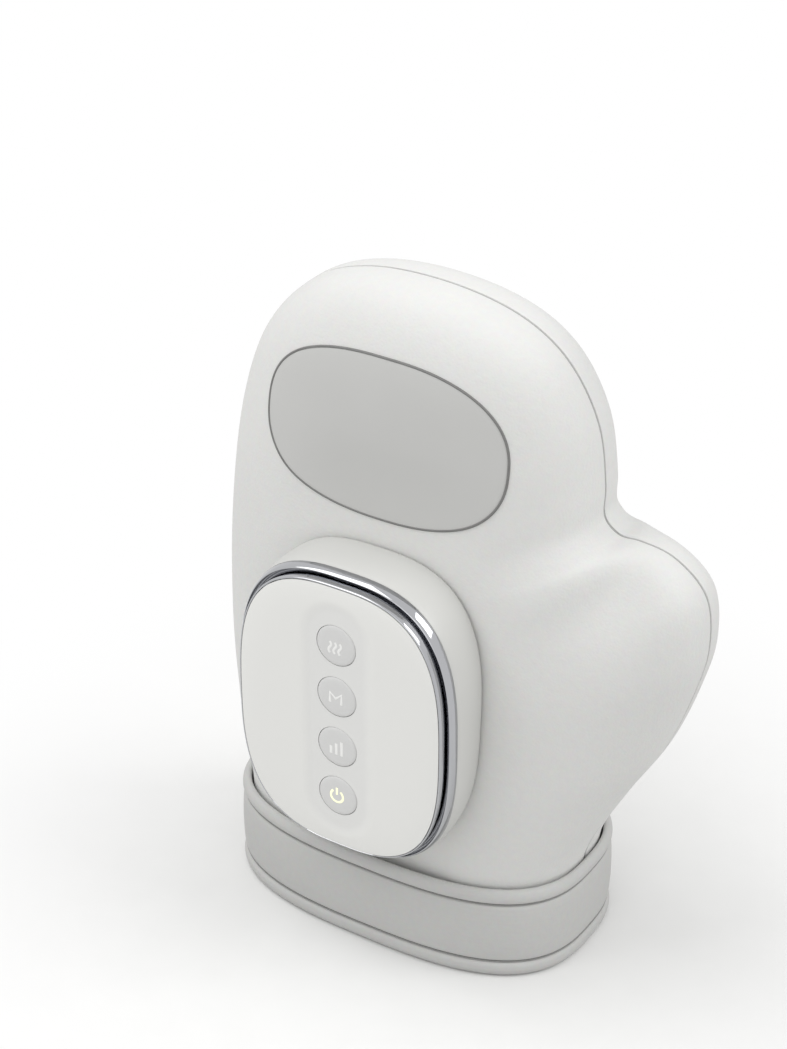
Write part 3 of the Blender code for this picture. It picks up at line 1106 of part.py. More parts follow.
for side, height in zip(("front", "back"), VALVE_HEIGHTS):
    spot = (-PUMP_OFFSET, INNER_SEAT, height)
    valve = turned_mesh(f"{side}_release_valve", VALVE_PROFILE, FINE_SIDES)
    place(f"{side}_release_valve", valve, (0.20, 0.20, 0.21), 0.4, SEAT, location=spot, rotation=OUTWARDS)
    plunger = turned_mesh(f"{side}_valve_plunger", PLUNGER_PROFILE, FINE_SIDES)
    place(f"{side}_valve_plunger", plunger, STEEL, 0.3, SEAT, 1.0, spot, OUTWARDS)

# Air manifold and its tubes
MANIFOLD_MIDDLE = INNER_SEAT - MANIFOLD_DEPTH / 2
MANIFOLD_SIZES = (MANIFOLD_LEFT + MANIFOLD_RIGHT, MANIFOLD_DEPTH, MANIFOLD_TOP - MANIFOLD_FOOT)
MANIFOLD_CENTRE = ((MANIFOLD_RIGHT - MANIFOLD_LEFT) / 2, MANIFOLD_MIDDLE, (MANIFOLD_TOP + MANIFOLD_FOOT) / 2)
manifold_mesh = block_mesh("air_manifold", MANIFOLD_SIZES, MANIFOLD_CENTRE, BUTTON_EDGE)
place("air_manifold", manifold_mesh, (0.72, 0.72, 0.70), 0.5, SEAT)
RUBBER = (0.55, 0.55, 0.53)
PUMP_TUBE_POINTS = 7
TUBE_RADIUS = TUBE_DIAMETER / 2
VALVE_SIDE = -PUMP_OFFSET + VALVE_DIAMETER / 2 + FIT_GAP
MANIFOLD_SIDE = -MANIFOLD_LEFT - FIT_GAP
for side, height in zip(("front", "back"), VALVE_HEIGHTS):
    title = f"{side}_valve_tube"
    valve_rod = (TUBE_RADIUS, VALVE_SIDE, MANIFOLD_SIDE, "x", (MANIFOLD_MIDDLE, height))
    place(title, rods_mesh(title, [valve_rod], FINE_SIDES), RUBBER, 0.6, SEAT)
tube_start = Vector((-PUMP_OFFSET, -PUMP_DEPTH, NOZZLE_TOP + FIT_GAP))
tube_end = Vector((MANIFOLD_SIDE, MANIFOLD_MIDDLE, MANIFOLD_FOOT + TUBE_RADIUS))
bend_start = tube_start + Vector((0, 0, TUBE_RADIUS))
bend_end = tube_end - Vector((TUBE_RADIUS, 0, 0))
bend = interpolate_bezier(bend_start, bend_start + Vector((0, 0, PUMP_TUBE_RISE)),
                          bend_end - Vector((PUMP_TUBE_RUN, 0, 0)), bend_end, PUMP_TUBE_POINTS)
pump_route = [tube_start, *bend, tube_end]
place("pump_tube", route_curve("pump_tube", pump_route, TUBE_DIAMETER), RUBBER, 0.6, SEAT)
OUTLET_END = COVER_THICKNESS + PLATE_THICKNESS + BAG_GAP
outlet_rod = (TUBE_RADIUS, INNER_SEAT + FIT_GAP, OUTLET_END, "y", (0.0, OUTLET_HEIGHT))
place("front_air_tube", rods_mesh("front_air_tube", [outlet_rod], FINE_SIDES), RUBBER, 0.6, SEAT)

# Back air tube and heater lead: out through the base, then round the side inside the wall to the back
SEAT_TURN = Matrix.Rotation(-LEAN, 4, "X")
TO_BODY = Matrix.Translation(SEAT_PLACE) @ SEAT_TURN
EDGE_STEPS = 4


def wall_point(right, front, turn, height, depth):
    """A point in the mitten's wall at a depth, by its turn from the seam (0) to the middle of a half."""
    edge = drawn_in_edge(right, depth, EDGE_STEPS)
    below, above = next((a, b) for a, b in zip(edge, edge[1:]) if b[1] >= height)
    reach = between(below[0], above[0], (height - below[1]) / (above[1] - below[1]))
    across = reach * math.cos(turn) ** (2 / SECTION_POWER) * (1 if right else -1)
    fullness = math.sin(turn) ** (2 / SECTION_POWER)
    stand = surface_depth(across, height, fullness, depth, front)
    return Vector((across, -stand if front else stand, height))


def wall_route(right, inside, depth, end_turn, end_height):
    """From inside the controller out through its base, then round one side of the wall to the back."""
    across = BACK_TUBE_OFFSET if right else -BACK_TUBE_OFFSET
    bend = BASE_FRONT - inside
    line = [(inside, bend), (between(inside, BASE_FRONT, BEND_SHARE), bend * BEND_SHARE), (BASE_FRONT, 0.0),
            (PLATE_FRONT, 0.0), (PLATE_BACK, 0.0), (depth, -bend * BEND_SHARE)]
    points = [TO_BODY @ Vector((across, out, rise - BACK_TUBE_DROP)) for out, rise in line]
    for share, rise in zip(WALL_TURN_SHARES, WALL_RISE_SHARES):
        height = between(WALL_ROUTE_HEIGHT, points[0].z, rise)
        points.append(wall_point(right, True, math.pi / 2 * share, height, depth))
    for share in reversed(WALL_TURN_SHARES[:-1]):
        if share < end_turn:
            points.append(wall_point(right, False, math.pi / 2 * share, WALL_ROUTE_HEIGHT, depth))
    for rise in WALL_END_SHARES:
        height = between(WALL_ROUTE_HEIGHT, end_height, rise)
        points.append(wall_point(right, False, math.pi / 2 * end_turn, height, depth))
    return points


BEND_SHARE = 0.3
WALL_TURN_SHARES = (0.92, 0.82, 0.62, 0.40, 0.20, 0.0)
WALL_RISE_SHARES = (0.5, 0.2, 0.0, 0.0, 0.0, 0.0)
LEAD_END_TURN = 0.8
WALL_END_SHARES = (0.12, 0.5, 1.0)
tube_start = Vector((-BACK_TUBE_OFFSET, MANIFOLD_MIDDLE, MANIFOLD_FOOT - FIT_GAP))
bag_verts = halves["back_air_bag"].data.vertices
bag_foot = min(vert.co.z for vert in bag_verts if abs(vert.co.x) < BACK_TUBE_OFFSET)
tube_route = [TO_BODY @ tube_start]
tube_route += wall_route(False, MANIFOLD_MIDDLE, TUBE_WALL_DEPTH, 1.0, bag_foot - FIT_GAP)
place("back_air_tube", route_curve("back_air_tube", tube_route, TUBE_DIAMETER), RUBBER, 0.6, STAND)
lead_start = Vector((BACK_TUBE_OFFSET, LEAD_DEPTH, PLUG_PLACE[1] - PLUG_SIZE[2] / 2 - FIT_GAP))
lead_start = SEAT_TURN.inverted() @ lead_start
lead_route = [TO_BODY @ lead_start]
lead_route += wall_route(True, lead_start.y, LEAD_WALL_DEPTH, LEAD_END_TURN, LEAD_END_HEIGHT)
place("heater_lead", route_curve("heater_lead", lead_route, LEAD_DIAMETER), (0.35, 0.08, 0.06), 0.6, STAND)
thermostat_height = bag_foot - CONTROLLER_HEIGHT - THERMOSTAT_DROP
thermostat_centre = (THERMOSTAT_OFFSET, PLATE_BACK + FIT_GAP + THERMOSTAT_SIZE[1] / 2, thermostat_height)
thermostat_mesh = block_mesh("thermostat", THERMOSTAT_SIZE, thermostat_centre)
place("thermostat", thermostat_mesh, (0.08, 0.08, 0.08), 0.4, SEAT)
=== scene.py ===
import math

import bmesh
import bpy
from mathutils import Matrix, Vector
from mathutils.bvhtree import BVHTree


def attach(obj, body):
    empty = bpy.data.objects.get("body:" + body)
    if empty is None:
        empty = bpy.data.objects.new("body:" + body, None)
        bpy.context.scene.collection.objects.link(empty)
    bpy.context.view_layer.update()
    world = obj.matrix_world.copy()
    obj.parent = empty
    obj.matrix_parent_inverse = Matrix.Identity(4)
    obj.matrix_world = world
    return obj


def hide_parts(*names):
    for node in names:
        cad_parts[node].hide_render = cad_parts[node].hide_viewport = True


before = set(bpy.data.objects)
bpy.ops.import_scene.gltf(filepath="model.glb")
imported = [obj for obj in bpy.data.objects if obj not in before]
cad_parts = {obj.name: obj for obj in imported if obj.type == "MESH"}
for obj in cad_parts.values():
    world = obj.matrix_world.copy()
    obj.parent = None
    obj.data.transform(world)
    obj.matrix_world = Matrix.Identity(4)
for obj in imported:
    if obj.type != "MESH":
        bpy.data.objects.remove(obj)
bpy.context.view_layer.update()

scene = bpy.context.scene
scene.view_settings.view_transform = "Standard"


# Camera: it looks down at the mitten from its right front through a long lens, which keeps the
# upright edges nearly parallel.
camera = bpy.data.objects.new("camera", bpy.data.cameras.new("camera"))
camera.data.lens = 86.63
camera.location = (0.3619, -0.6150, 0.5778)
camera.rotation_euler = (math.radians(90 - 30.54), 0, math.radians(32.17))
scene.collection.objects.link(camera)
scene.camera = camera


# Floor: a sheet of pale matt paper that the mitten stands on. Away from the mitten it fades into the
# white of the world round it, so no edge shows, and the shiny pieces mirror that white as well.
def linear(hex_colour):
    """An sRGB hex colour as the linear values that sockets take."""
    shares = [int(hex_colour[place:place + 2], 16) / 255 for place in (1, 3, 5)]
    values = [share / 12.92 if share <= 0.04045 else ((share + 0.055) / 1.055) ** 2.4 for share in shares]
    return (*values, 1.0)


def start_material(name, sockets):
    """A new material whose shader has plain values on its sockets."""
    material = bpy.data.materials.new(name)
    material.use_nodes = True
    shader = material.node_tree.nodes["Principled BSDF"]
    for socket, value in sockets.items():
        shader.inputs[socket].default_value = value
    return material, shader


def add_node(tree, kind, settings=None, inputs=None):
    """Adds a node with its settings; an input is either a plain value or the output that feeds it."""
    node = tree.nodes.new(kind)
    for name, value in (settings or {}).items():
        setattr(node, name, value)
    for name, value in (inputs or {}).items():
        if isinstance(value, bpy.types.NodeSocket):
            tree.links.new(value, node.inputs[name])
        else:
            node.inputs[name].default_value = value
    return node


def seen_share(tree):
    """1 for rays that the camera sees, straight, through clear pieces or mirrored, and 0 for others."""
    ray = add_node(tree, "ShaderNodeLightPath")
    direct = add_node(tree, "ShaderNodeMath", {"operation": "MAXIMUM"}, {
        0: ray.outputs["Is Camera Ray"], 1: ray.outputs["Is Transmission Ray"]})
    return add_node(tree, "ShaderNodeMath", {"operation": "MAXIMUM"}, {
        0: direct.outputs[0], 1: ray.outputs["Is Glossy Ray"]})


def finish_mesh(bm, name, place=None):
    """Turns worked faces into a mesh and moves it to its place."""
    mesh = bpy.data.meshes.new(name)
    bm.to_mesh(mesh)
    bm.free()
    if place is not None:
        mesh.transform(place)
    return mesh


def add_piece(name, mesh, material):
    """Puts a finished mesh in the scene, shaded smooth, with its material."""
    piece = bpy.data.objects.new(name, mesh)
    scene.collection.objects.link(piece)
    mesh.materials.append(material)
    mesh.shade_smooth()
    return piece


# Matt paper: rough and without gloss; its faint fibre keeps the white from looking painted.
paper, paper_shader = start_material("matt_paper", {"Roughness": 0.95, "Specular IOR Level": 0.1})
tree = paper.node_tree
place = add_node(tree, "ShaderNodeTexCoord")
fibre = add_node(tree, "ShaderNodeTexNoise", inputs={
    "Vector": place.outputs["Object"], "Scale": 60.0, "Detail": 3.0})
shade = add_node(tree, "ShaderNodeMix", {"data_type": "RGBA"}, {
    "Factor": fibre.outputs["Fac"], "A": linear("#ECECEB"), "B": linear("#F0F0EF")})
seen = seen_share(tree)
# It throws little light back up, so the mitten's lower sides stay darker than its top.
tint = add_node(tree, "ShaderNodeMix", {"data_type": "RGBA"}, {
    "Factor": seen.outputs[0], "A": linear("#CBCBCA"), "B": shade.outputs["Result"]})
tree.links.new(tint.outputs["Result"], paper_shader.inputs["Base Color"])
reach = add_node(tree, "ShaderNodeVectorMath", {"operation": "LENGTH"}, {0: place.outputs["Object"]})
away = add_node(tree, "ShaderNodeMapRange", {"interpolation_type": "SMOOTHSTEP"}, {
    "Value": reach.outputs["Value"], "From Min": 0.07, "From Max": 0.25})
share = add_node(tree, "ShaderNodeMath", {"operation": "MULTIPLY"}, {
    0: seen.outputs[0], 1: away.outputs["Result"]})
glow = add_node(tree, "ShaderNodeEmission", inputs={"Color": linear("#FFFFFF"), "Strength": 1.0})
both = add_node(tree, "ShaderNodeMixShader", inputs={
    "Fac": share.outputs[0], 1: paper_shader.outputs["BSDF"], 2: glow.outputs[0]})
tree.links.new(both.outputs[0], tree.nodes["Material Output"].inputs["Surface"])
FLOOR_HALF = 4.0
FLOOR_LEVEL = Matrix.Translation((0, 0, -0.0002))
bm = bmesh.new()
bmesh.ops.create_grid(bm, x_segments=8, y_segments=8, size=FLOOR_HALF, matrix=FLOOR_LEVEL)
floor = add_piece("floor", finish_mesh(bm, "floor"), paper)

world = bpy.data.worlds.new("white_studio")
scene.world = world
world.use_nodes = True
tree = world.node_tree
ambient = tree.nodes["Background"]
ambient.inputs["Color"].default_value = linear("#FFFFFF")
ambient.inputs["Strength"].default_value = 0.64
white = add_node(tree, "ShaderNodeBackground", inputs={"Color": linear("#FFFFFF"), "Strength": 1.0})
seen = seen_share(tree)
both = add_node(tree, "ShaderNodeMixShader", inputs={
    "Fac": seen.outputs[0], 1: ambient.outputs[0], 2: white.outputs[0]})
tree.links.new(both.outputs[0], tree.nodes["World Output"].inputs["Surface"])


def soft_lamp(name, place, aim, size, power):
    """A square soft box that faces a point."""
    lamp = bpy.data.objects.new(name, bpy.data.lights.new(name, "AREA"))
    lamp.data.size = size
    lamp.data.energy = power
    lamp.location = place
    lamp.rotation_euler = (Vector(aim) - Vector(place)).to_track_quat("-Z", "Y").to_euler()
    scene.collection.objects.link(lamp)


LAMP_AIM = (0, 0, 0.1)
soft_lamp("key_box", (-0.45, -0.27, 1.0), LAMP_AIM, 0.8, 4.6)
soft_lamp("right_box", (1.15, 0.30, 1.15), LAMP_AIM, 0.8, 8.2)
soft_lamp("front_box", (0.3, -1.3, 0.5), LAMP_AIM, 1.2, 3.4)


# Covers: the two outer halves of the mitten, soft-touch knitted cloth backed with foam, 2.6 mm in all.
# Each is cut flat, pulled over the shape and sewn to the other along the edge, so it swells a little
# between seams.
MITTEN = Matrix.Translation((-0.01595, 0.007057, 0))
# Lengths in millimetres, across from the mitten's middle and up from its foot.
LEFT_EDGE = ((65.0, 1.8), (65.0, 20.1), (65.0, 37.6), (68.8, 55.9), (71.5, 76.0), (73.2, 95.9), (73.6, 116.0),
             (73.2, 135.9), (71.8, 155.0), (69.8, 172.0), (67.0, 187.0), (63.0, 201.0), (57.5, 213.0),
             (49.0, 224.0), (37.0, 233.0), (20.0, 238.5), (0.0, 240.0))
RIGHT_EDGE = ((65.0, 1.8), (65.0, 20.1), (65.0, 37.6), (78.0, 66.0), (92.5, 92.1), (101.5, 117.2),
              (105.5, 135.9), (103.0, 155.0), (91.0, 165.2), (79.0, 167.4), (71.6, 167.4), (66.3, 172.0),
              (66.0, 183.0), (62.4, 205.0), (50.5, 224.2), (33.0, 235.0), (0.0, 240.0))
SECTION_POWER = 2.78
FOOT_HALF_DEPTH = 38.8
TIP_HALF_DEPTH = 28.3
TAPER_HEIGHTS = (19.2, 199.2)
THUMB_THINNING = 0.10
THUMB_REACH = (45.4, 100.2)
VALLEY_HEAD = (86.0, 172.0)
VALLEY_TURN = math.radians(-114)
VALLEY_DEPTH = 9.5
BACK_VALLEY_SHARE = 0.25
PALM_SIDE_WIDTH = 6.5
THUMB_SIDE_WIDTH = 12.0
VALLEY_WIDENING = 0.10
VALLEY_FULL_LENGTH = 10.0
VALLEY_FADE_LENGTH = 24.0
VALLEY_HEAD_LENGTH = 9.0
VALLEY_CREST = 3.0
CREST_OFFSET = 2.1
SPINE_HEIGHTS = (1.8, 178.1)
SPINE_POWER = 1.35
CONTROLLER_HEIGHT = 101.6
CONTROLLER_HALVES = (41.8, 54.0)
CONTROLLER_POWER = 2.85
SEAT_DEPTH = 31.61
SEAT_SLOPE = 0.0583
SEAT_FADE = (1.28, 1.8)
SEAM_HALF_GAP = 0.15


def smooth_line(points, steps):
    """A smooth line through points, upright at its first and level at its last."""
    points = [Vector(point) for point in points]
    gaps = [math.sqrt((after - point).length) for point, after in zip(points, points[1:])]
    slopes = [Vector((0, (points[1].y - points[0].y) / gaps[0]))]
    for before, point, after, left, right in zip(points, points[1:], points[2:], gaps, gaps[1:]):
        slopes.append(((point - before) / left * right + (after - point) / right * left) / (left + right))
    slopes.append(Vector(((points[-1].x - points[-2].x) / gaps[-1], 0)))
    line = []
    for start, end, leave, arrive, gap in zip(points, points[1:], slopes, slopes[1:], gaps):
        for step in range(steps):
            t = step / steps
            line.append(start * (2 * t**3 - 3 * t**2 + 1) + leave * gap * (t**3 - 2 * t**2 + t)
                        + end * (3 * t**2 - 2 * t**3) + arrive * gap * (t**3 - t**2))
    line.append(points[-1])
    return line


def edge_line(points, depth, steps):
    """The mitten's edge moved inwards by a depth."""
    line = smooth_line(points, steps)
    moved = []
    for number, point in enumerate(line):
        along = line[min(number + 1, len(line) - 1)] - line[max(number - 1, 0)]
        if number == 0:
            along = Vector((0, 1))
        if number == len(line) - 1:
            along = Vector((-1, 0))
        along.normalize()
        moved.append(point + Vector((-along.y, along.x)) * depth)
    return moved


def ramp(value, start, end):
    """A smooth step from 0 at start to 1 at end."""
    share = min(max((value - start) / (end - start), 0.0), 1.0)
    return share * share * (3 - 2 * share)


def valley(across, height):
    """The dip between palm and thumb: steep on the palm's side, where a low crest runs beside it."""
    along = Vector((math.cos(VALLEY_TURN), math.sin(VALLEY_TURN)))
    offset = Vector((across - VALLEY_HEAD[0], height - VALLEY_HEAD[1]))
    down = offset.dot(along)
    aside = offset.cross(along)
    half_width = (PALM_SIDE_WIDTH if aside > 0 else THUMB_SIDE_WIDTH) + VALLEY_WIDENING * max(down, 0.0)
    past = max(down - VALLEY_FULL_LENGTH, 0.0) / VALLEY_FADE_LENGTH
    above = min(down, 0.0) / VALLEY_HEAD_LENGTH
    dip = VALLEY_DEPTH * math.exp(-(aside / half_width) ** 2)
    crest = VALLEY_CREST * math.exp(-(aside / half_width - CREST_OFFSET) ** 2)
    return (dip - crest) * math.exp(-past**2 - above**2)


def oval_reach(across, height, middle, halves, power):
    """How far out a place is from an oval's middle, with 1 on its edge."""
    shares = (abs(across - middle[0]) / halves[0], abs(height - middle[1]) / halves[1])
    return sum(share**power for share in shares) ** (1 / power)


def from_controller(across, height):
    """How far out a place is from the controller's middle, with 1 on its outline."""
    return oval_reach(across, height, (0.0, CONTROLLER_HEIGHT), CONTROLLER_HALVES, CONTROLLER_POWER)


def stand_off(across, height, fullness, depth, front):
    """How far a layer of the mitten stands from its mid plane."""
    taper = min(max((height - TAPER_HEIGHTS[0]) / (TAPER_HEIGHTS[1] - TAPER_HEIGHTS[0]), 0.0), 1.0)
    half = FOOT_HALF_DEPTH + (TIP_HALF_DEPTH - FOOT_HALF_DEPTH) * taper
    dip = valley(across, height) * (1 if front else BACK_VALLEY_SHARE)
    full = half * (1 - THUMB_THINNING * ramp(across, *THUMB_REACH)) - dip
    stand = (full - depth) * fullness
    if front:
        seat = SEAT_DEPTH - (height - CONTROLLER_HEIGHT) * SEAT_SLOPE - depth
        stand -= max(stand - seat, 0.0) * (1 - ramp(from_controller(across, height), *SEAT_FADE))
    return stand


def mitten_skin(front, depth, steps, rows):
    """One open skin of a half mitten; each row is its turn up from the seam and how deep it is tucked in."""
    edges = [edge_line(points, depth, steps) for points in (LEFT_EDGE, RIGHT_EDGE)]
    tucked = [edge_line(points, depth + rows[0][1], steps) for points in (LEFT_EDGE, RIGHT_EDGE)]
    spans = len(edges[0]) - 1
    columns = 2 * spans
    bm = bmesh.new()
    bmesh.ops.create_grid(bm, x_segments=columns, y_segments=len(rows) - 1, size=1.0)
    for vert in bm.verts:
        column = round((vert.co.x + 1) / 2 * columns)
        row = round((vert.co.y + 1) / 2 * (len(rows) - 1))
        right = column > spans
        number = columns - column if right else column
        reach, height = (tucked if row == 0 else edges)[right][number]
        climb = 1 - (1 - number / spans) ** SPINE_POWER
        spine = SPINE_HEIGHTS[0] + (SPINE_HEIGHTS[1] - SPINE_HEIGHTS[0]) * climb
        turn = rows[row][0]
        inward = 1 - max(math.cos(turn), 0.0) ** (2 / SECTION_POWER) if row < len(rows) - 1 else 1.0
        across = reach * (1 - inward) * (1 if right else -1)
        up = height + (spine - height) * inward
        stand = stand_off(across, up, math.sin(turn) ** (2 / SECTION_POWER), depth, front)
        vert.co = Vector((across, (SEAM_HALF_GAP + stand) * (-1 if front else 1), up)) / 1000
    bmesh.ops.remove_doubles(bm, verts=bm.verts[:], dist=1e-6)
    bmesh.ops.recalc_face_normals(bm, faces=bm.faces[:])
    outward = -1 if front else 1
    if sum(face.normal.y * face.calc_area() for face in bm.faces) * outward < 0:
        bmesh.ops.reverse_faces(bm, faces=bm.faces[:])
    return finish_mesh(bm, "skin", MITTEN)


# Soft-touch cloth: tight polyester knit, brushed until only a pebbled grain is left. The grain is about
# 0.4 mm, drawn here at 0.9 mm so that it shows; a weak sheen lightens the turned edges.
cover_cloth, cloth_shader = start_material("brushed_polyester_knit", {
    "Roughness": 0.82, "IOR": 1.46, "Specular IOR Level": 0.3, "Sheen Weight": 0.12, "Sheen Roughness": 0.5})
tree = cover_cloth.node_tree
place = add_node(tree, "ShaderNodeTexCoord")
grain = add_node(tree, "ShaderNodeTexVoronoi", inputs={"Vector": place.outputs["Object"], "Scale": 1100.0})
nap = add_node(tree, "ShaderNodeTexNoise", inputs={
    "Vector": place.outputs["Object"], "Scale": 420.0, "Detail": 4.0, "Roughness": 0.6})
cloud = add_node(tree, "ShaderNodeTexNoise", inputs={
    "Vector": place.outputs["Object"], "Scale": 14.0, "Detail": 2.0})
shade = add_node(tree, "ShaderNodeMix", {"data_type": "RGBA"}, {
    "Factor": cloud.outputs["Fac"], "A": linear("#DCDCDA"), "B": linear("#E6E6E4")})
fleck = add_node(tree, "ShaderNodeMix", {"data_type": "RGBA", "blend_type": "MULTIPLY"}, {
    "Factor": 0.10, "A": shade.outputs["Result"], "B": nap.outputs["Color"]})
relief = add_node(tree, "ShaderNodeMath", {"operation": "MULTIPLY_ADD"}, {
    0: grain.outputs["Distance"], 1: -0.6, 2: nap.outputs["Fac"]})
bump = add_node(tree, "ShaderNodeBump", inputs={
    "Strength": 0.30, "Distance": 0.00025, "Height": relief.outputs[0]})
tree.links.new(fleck.outputs["Result"], cloth_shader.inputs["Base Color"])
tree.links.new(bump.outputs["Normal"], cloth_shader.inputs["Normal"])

SKIN_STEPS = 6
SKIN_ROWS = 22
ROW_CROWDING = 1.5
SEAM_TUCK = 0.6
SEAM_LIP_TURN = 0.0022
COVER_WALL = 0.0026
PUFF_CAP = 0.0016
PUFF_FRAMES = 20
skin_rows = [(0.0, SEAM_TUCK), (SEAM_LIP_TURN, 0.0)]
skin_rows += [(math.pi / 2 * (row / SKIN_ROWS) ** ROW_CROWDING, 0.0) for row in range(1, SKIN_ROWS + 1)]
PANEL_MIDDLE = (-1.5, 192.5)
PANEL_HALVES = (45.5, 28.2)
PANEL_POWER = 2.37
# Where the cloth's hold fades: millimetres from the seam and above the cuff, then how far out from the
# controller and from the panel.
SEAM_HOLD = (3.0, 14.0)
CUFF_HOLD = (42.0, 56.0)
CONTROLLER_HOLD = (1.1, 1.5)
PANEL_HOLD = (1.02, 1.4)


def held_share(point, front):
    """How firmly the cloth is held at a place: 1 at seams and under fixed pieces, 0 where it is free."""
    across, out, height = (MITTEN.inverted() @ point) * 1000
    held = max(1 - ramp(abs(out), *SEAM_HOLD), 1 - ramp(height, *CUFF_HOLD))
    if front:
        from_panel = oval_reach(across, height, PANEL_MIDDLE, PANEL_HALVES, PANEL_POWER)
        held = max(held, 1 - ramp(from_controller(across, height), *CONTROLLER_HOLD),
                   1 - ramp(from_panel, *PANEL_HOLD))
    return held


def puff(piece, front):
    """Lets air press the held skin outwards, and keeps each point within a small reach of its start."""
    starts = [vert.co.copy() for vert in piece.data.vertices]
    holds = [held_share(start, front) for start in starts]
    pins = piece.vertex_groups.new(name="held")
    for number, held in enumerate(holds):
        pins.add([number], held, "REPLACE")
    cloth = piece.modifiers.new("puff", "CLOTH")
    cloth.settings.quality = 4
    cloth.settings.mass = 0.2
    cloth.settings.tension_stiffness = 12
    cloth.settings.compression_stiffness = 12
    cloth.settings.bending_stiffness = 0.6
    cloth.settings.use_pressure = True
    cloth.settings.uniform_pressure_force = 4.0
    cloth.settings.vertex_group_mass = "held"
    cloth.settings.effector_weights.gravity = 0
    for number in range(1, PUFF_FRAMES + 1):
        scene.frame_set(number)
    settled = piece.evaluated_get(bpy.context.evaluated_depsgraph_get()).data
    ends = [vert.co.copy() for vert in settled.vertices]
    piece.modifiers.clear()
    piece.vertex_groups.clear()
    scene.frame_set(1)
    for vert, start, end, held in zip(piece.data.vertices, starts, ends, holds):
        move = (end - start) * (1 - held)
        vert.co = start + move * min(1.0, PUFF_CAP / max(move.length, 1e-9))


def thicken(piece, name, thickness):
    """Gives an open skin a thickness, inwards."""
    wall = piece.modifiers.new(name, "SOLIDIFY")
    wall.thickness = thickness
    wall.offset = -1


def round_off(piece):
    """Rounds a piece by one subdivision."""
    soft = piece.modifiers.new("soft", "SUBSURF")
    soft.levels = 1
    soft.render_levels = 1


covers = {}
for side, front in (("front", True), ("back", False)):
    skin = add_piece(f"{side}_cover_cloth", mitten_skin(front, 0.0, SKIN_STEPS, skin_rows), cover_cloth)
    puff(skin, front)
    thicken(skin, "foam", COVER_WALL)
    round_off(skin)
    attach(skin, "mitten")
    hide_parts(f"{side}_cover")
    covers[side] = skin


# Seam cord: where the two halves are sewn, a thin grey cord closes the groove all the way round.
# It is a fine braid, whose two ends stop at the foot inside the cuff.
seam_braid, braid_shader = start_material("fine_polyester_braid", {
    "Roughness": 0.85, "IOR": 1.46, "Specular IOR Level": 0.25})
tree = seam_braid.node_tree
place = add_node(tree, "ShaderNodeTexCoord")
strand = add_node(tree, "ShaderNodeTexNoise", inputs={
    "Vector": place.outputs["Object"], "Scale": 900.0, "Detail": 2.0})
shade = add_node(tree, "ShaderNodeMix", {"data_type": "RGBA"}, {
    "Factor": strand.outputs["Fac"], "A": linear("#AEAEAC"), "B": linear("#C0C0BE")})
bump = add_node(tree, "ShaderNodeBump", inputs={
    "Strength": 0.4, "Distance": 0.0001, "Height": strand.outputs["Fac"]})
tree.links.new(shade.outputs["Result"], braid_shader.inputs["Base Color"])
tree.links.new(bump.outputs["Normal"], braid_shader.inputs["Normal"])


def cord_mesh(name, points, radius, closed=False):
    """A round cord through points, as a mesh."""
    curve = bpy.data.curves.new(name, "CURVE")
    curve.dimensions = "3D"
    curve.bevel_depth = radius
    curve.bevel_resolution = 3
    curve.use_fill_caps = not closed
    spline = curve.splines.new("POLY")
    spline.points.add(len(points) - 1)
    for spot, point in zip(spline.points, points):
        spot.co = (*point, 1)
    spline.use_cyclic_u = closed
    holder = bpy.data.objects.new(name, curve)
    scene.collection.objects.link(holder)
    mesh = bpy.data.meshes.new_from_object(holder.evaluated_get(bpy.context.evaluated_depsgraph_get()))
    bpy.data.objects.remove(holder)
    return mesh


CORD_RADIUS = 0.00034
CORD_STEPS = 8
left_side = [Vector((-point.x, 0, point.y)) / 1000 for point in edge_line(LEFT_EDGE, SEAM_TUCK, CORD_STEPS)]
right_side = [Vector((point.x, 0, point.y)) / 1000 for point in edge_line(RIGHT_EDGE, SEAM_TUCK, CORD_STEPS)]
seam_points = left_side + right_side[-2::-1]
seam_mesh = cord_mesh("seam_cord", seam_points, CORD_RADIUS)
seam_mesh.transform(MITTEN)
seam = add_piece("seam_cord", seam_mesh, seam_braid)
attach(seam, "mitten")


# Linings: the pocket that the hand goes in, a thin knit sewn to the same seam inside the heat films.
# They show only from below, through the mouth.
# Looped polyester knit: matt mid grey, its loops in columns 1.2 mm apart and rows 1.6 mm apart.
lining_knit, knit_shader = start_material("grey_lining_knit", {
    "Roughness": 0.9, "IOR": 1.46, "Specular IOR Level": 0.2, "Sheen Weight": 0.2, "Sheen Roughness": 0.5})
tree = lining_knit.node_tree
place = add_node(tree, "ShaderNodeTexCoord")
wales = add_node(tree, "ShaderNodeTexWave", {"bands_direction": "X", "wave_profile": "SIN"}, {
    "Vector": place.outputs["Object"], "Scale": 260.0, "Distortion": 1.5, "Detail": 2.0})
courses = add_node(tree, "ShaderNodeTexWave", {"bands_direction": "Z", "wave_profile": "SIN"}, {
    "Vector": place.outputs["Object"], "Scale": 200.0, "Distortion": 1.5, "Detail": 2.0})
loops = add_node(tree, "ShaderNodeMath", {"operation": "MULTIPLY"}, {
    0: wales.outputs["Fac"], 1: courses.outputs["Fac"]})
shade = add_node(tree, "ShaderNodeMix", {"data_type": "RGBA"}, {
    "Factor": loops.outputs[0], "A": linear("#6E6E6E"), "B": linear("#8A8A8A")})
bump = add_node(tree, "ShaderNodeBump", inputs={
    "Strength": 0.5, "Distance": 0.0003, "Height": loops.outputs[0]})
tree.links.new(shade.outputs["Result"], knit_shader.inputs["Base Color"])
tree.links.new(bump.outputs["Normal"], knit_shader.inputs["Normal"])
LINING_DEPTH = 9.9
LINING_WALL = 0.0012
LINING_STEPS = 4
LINING_ROWS = 14
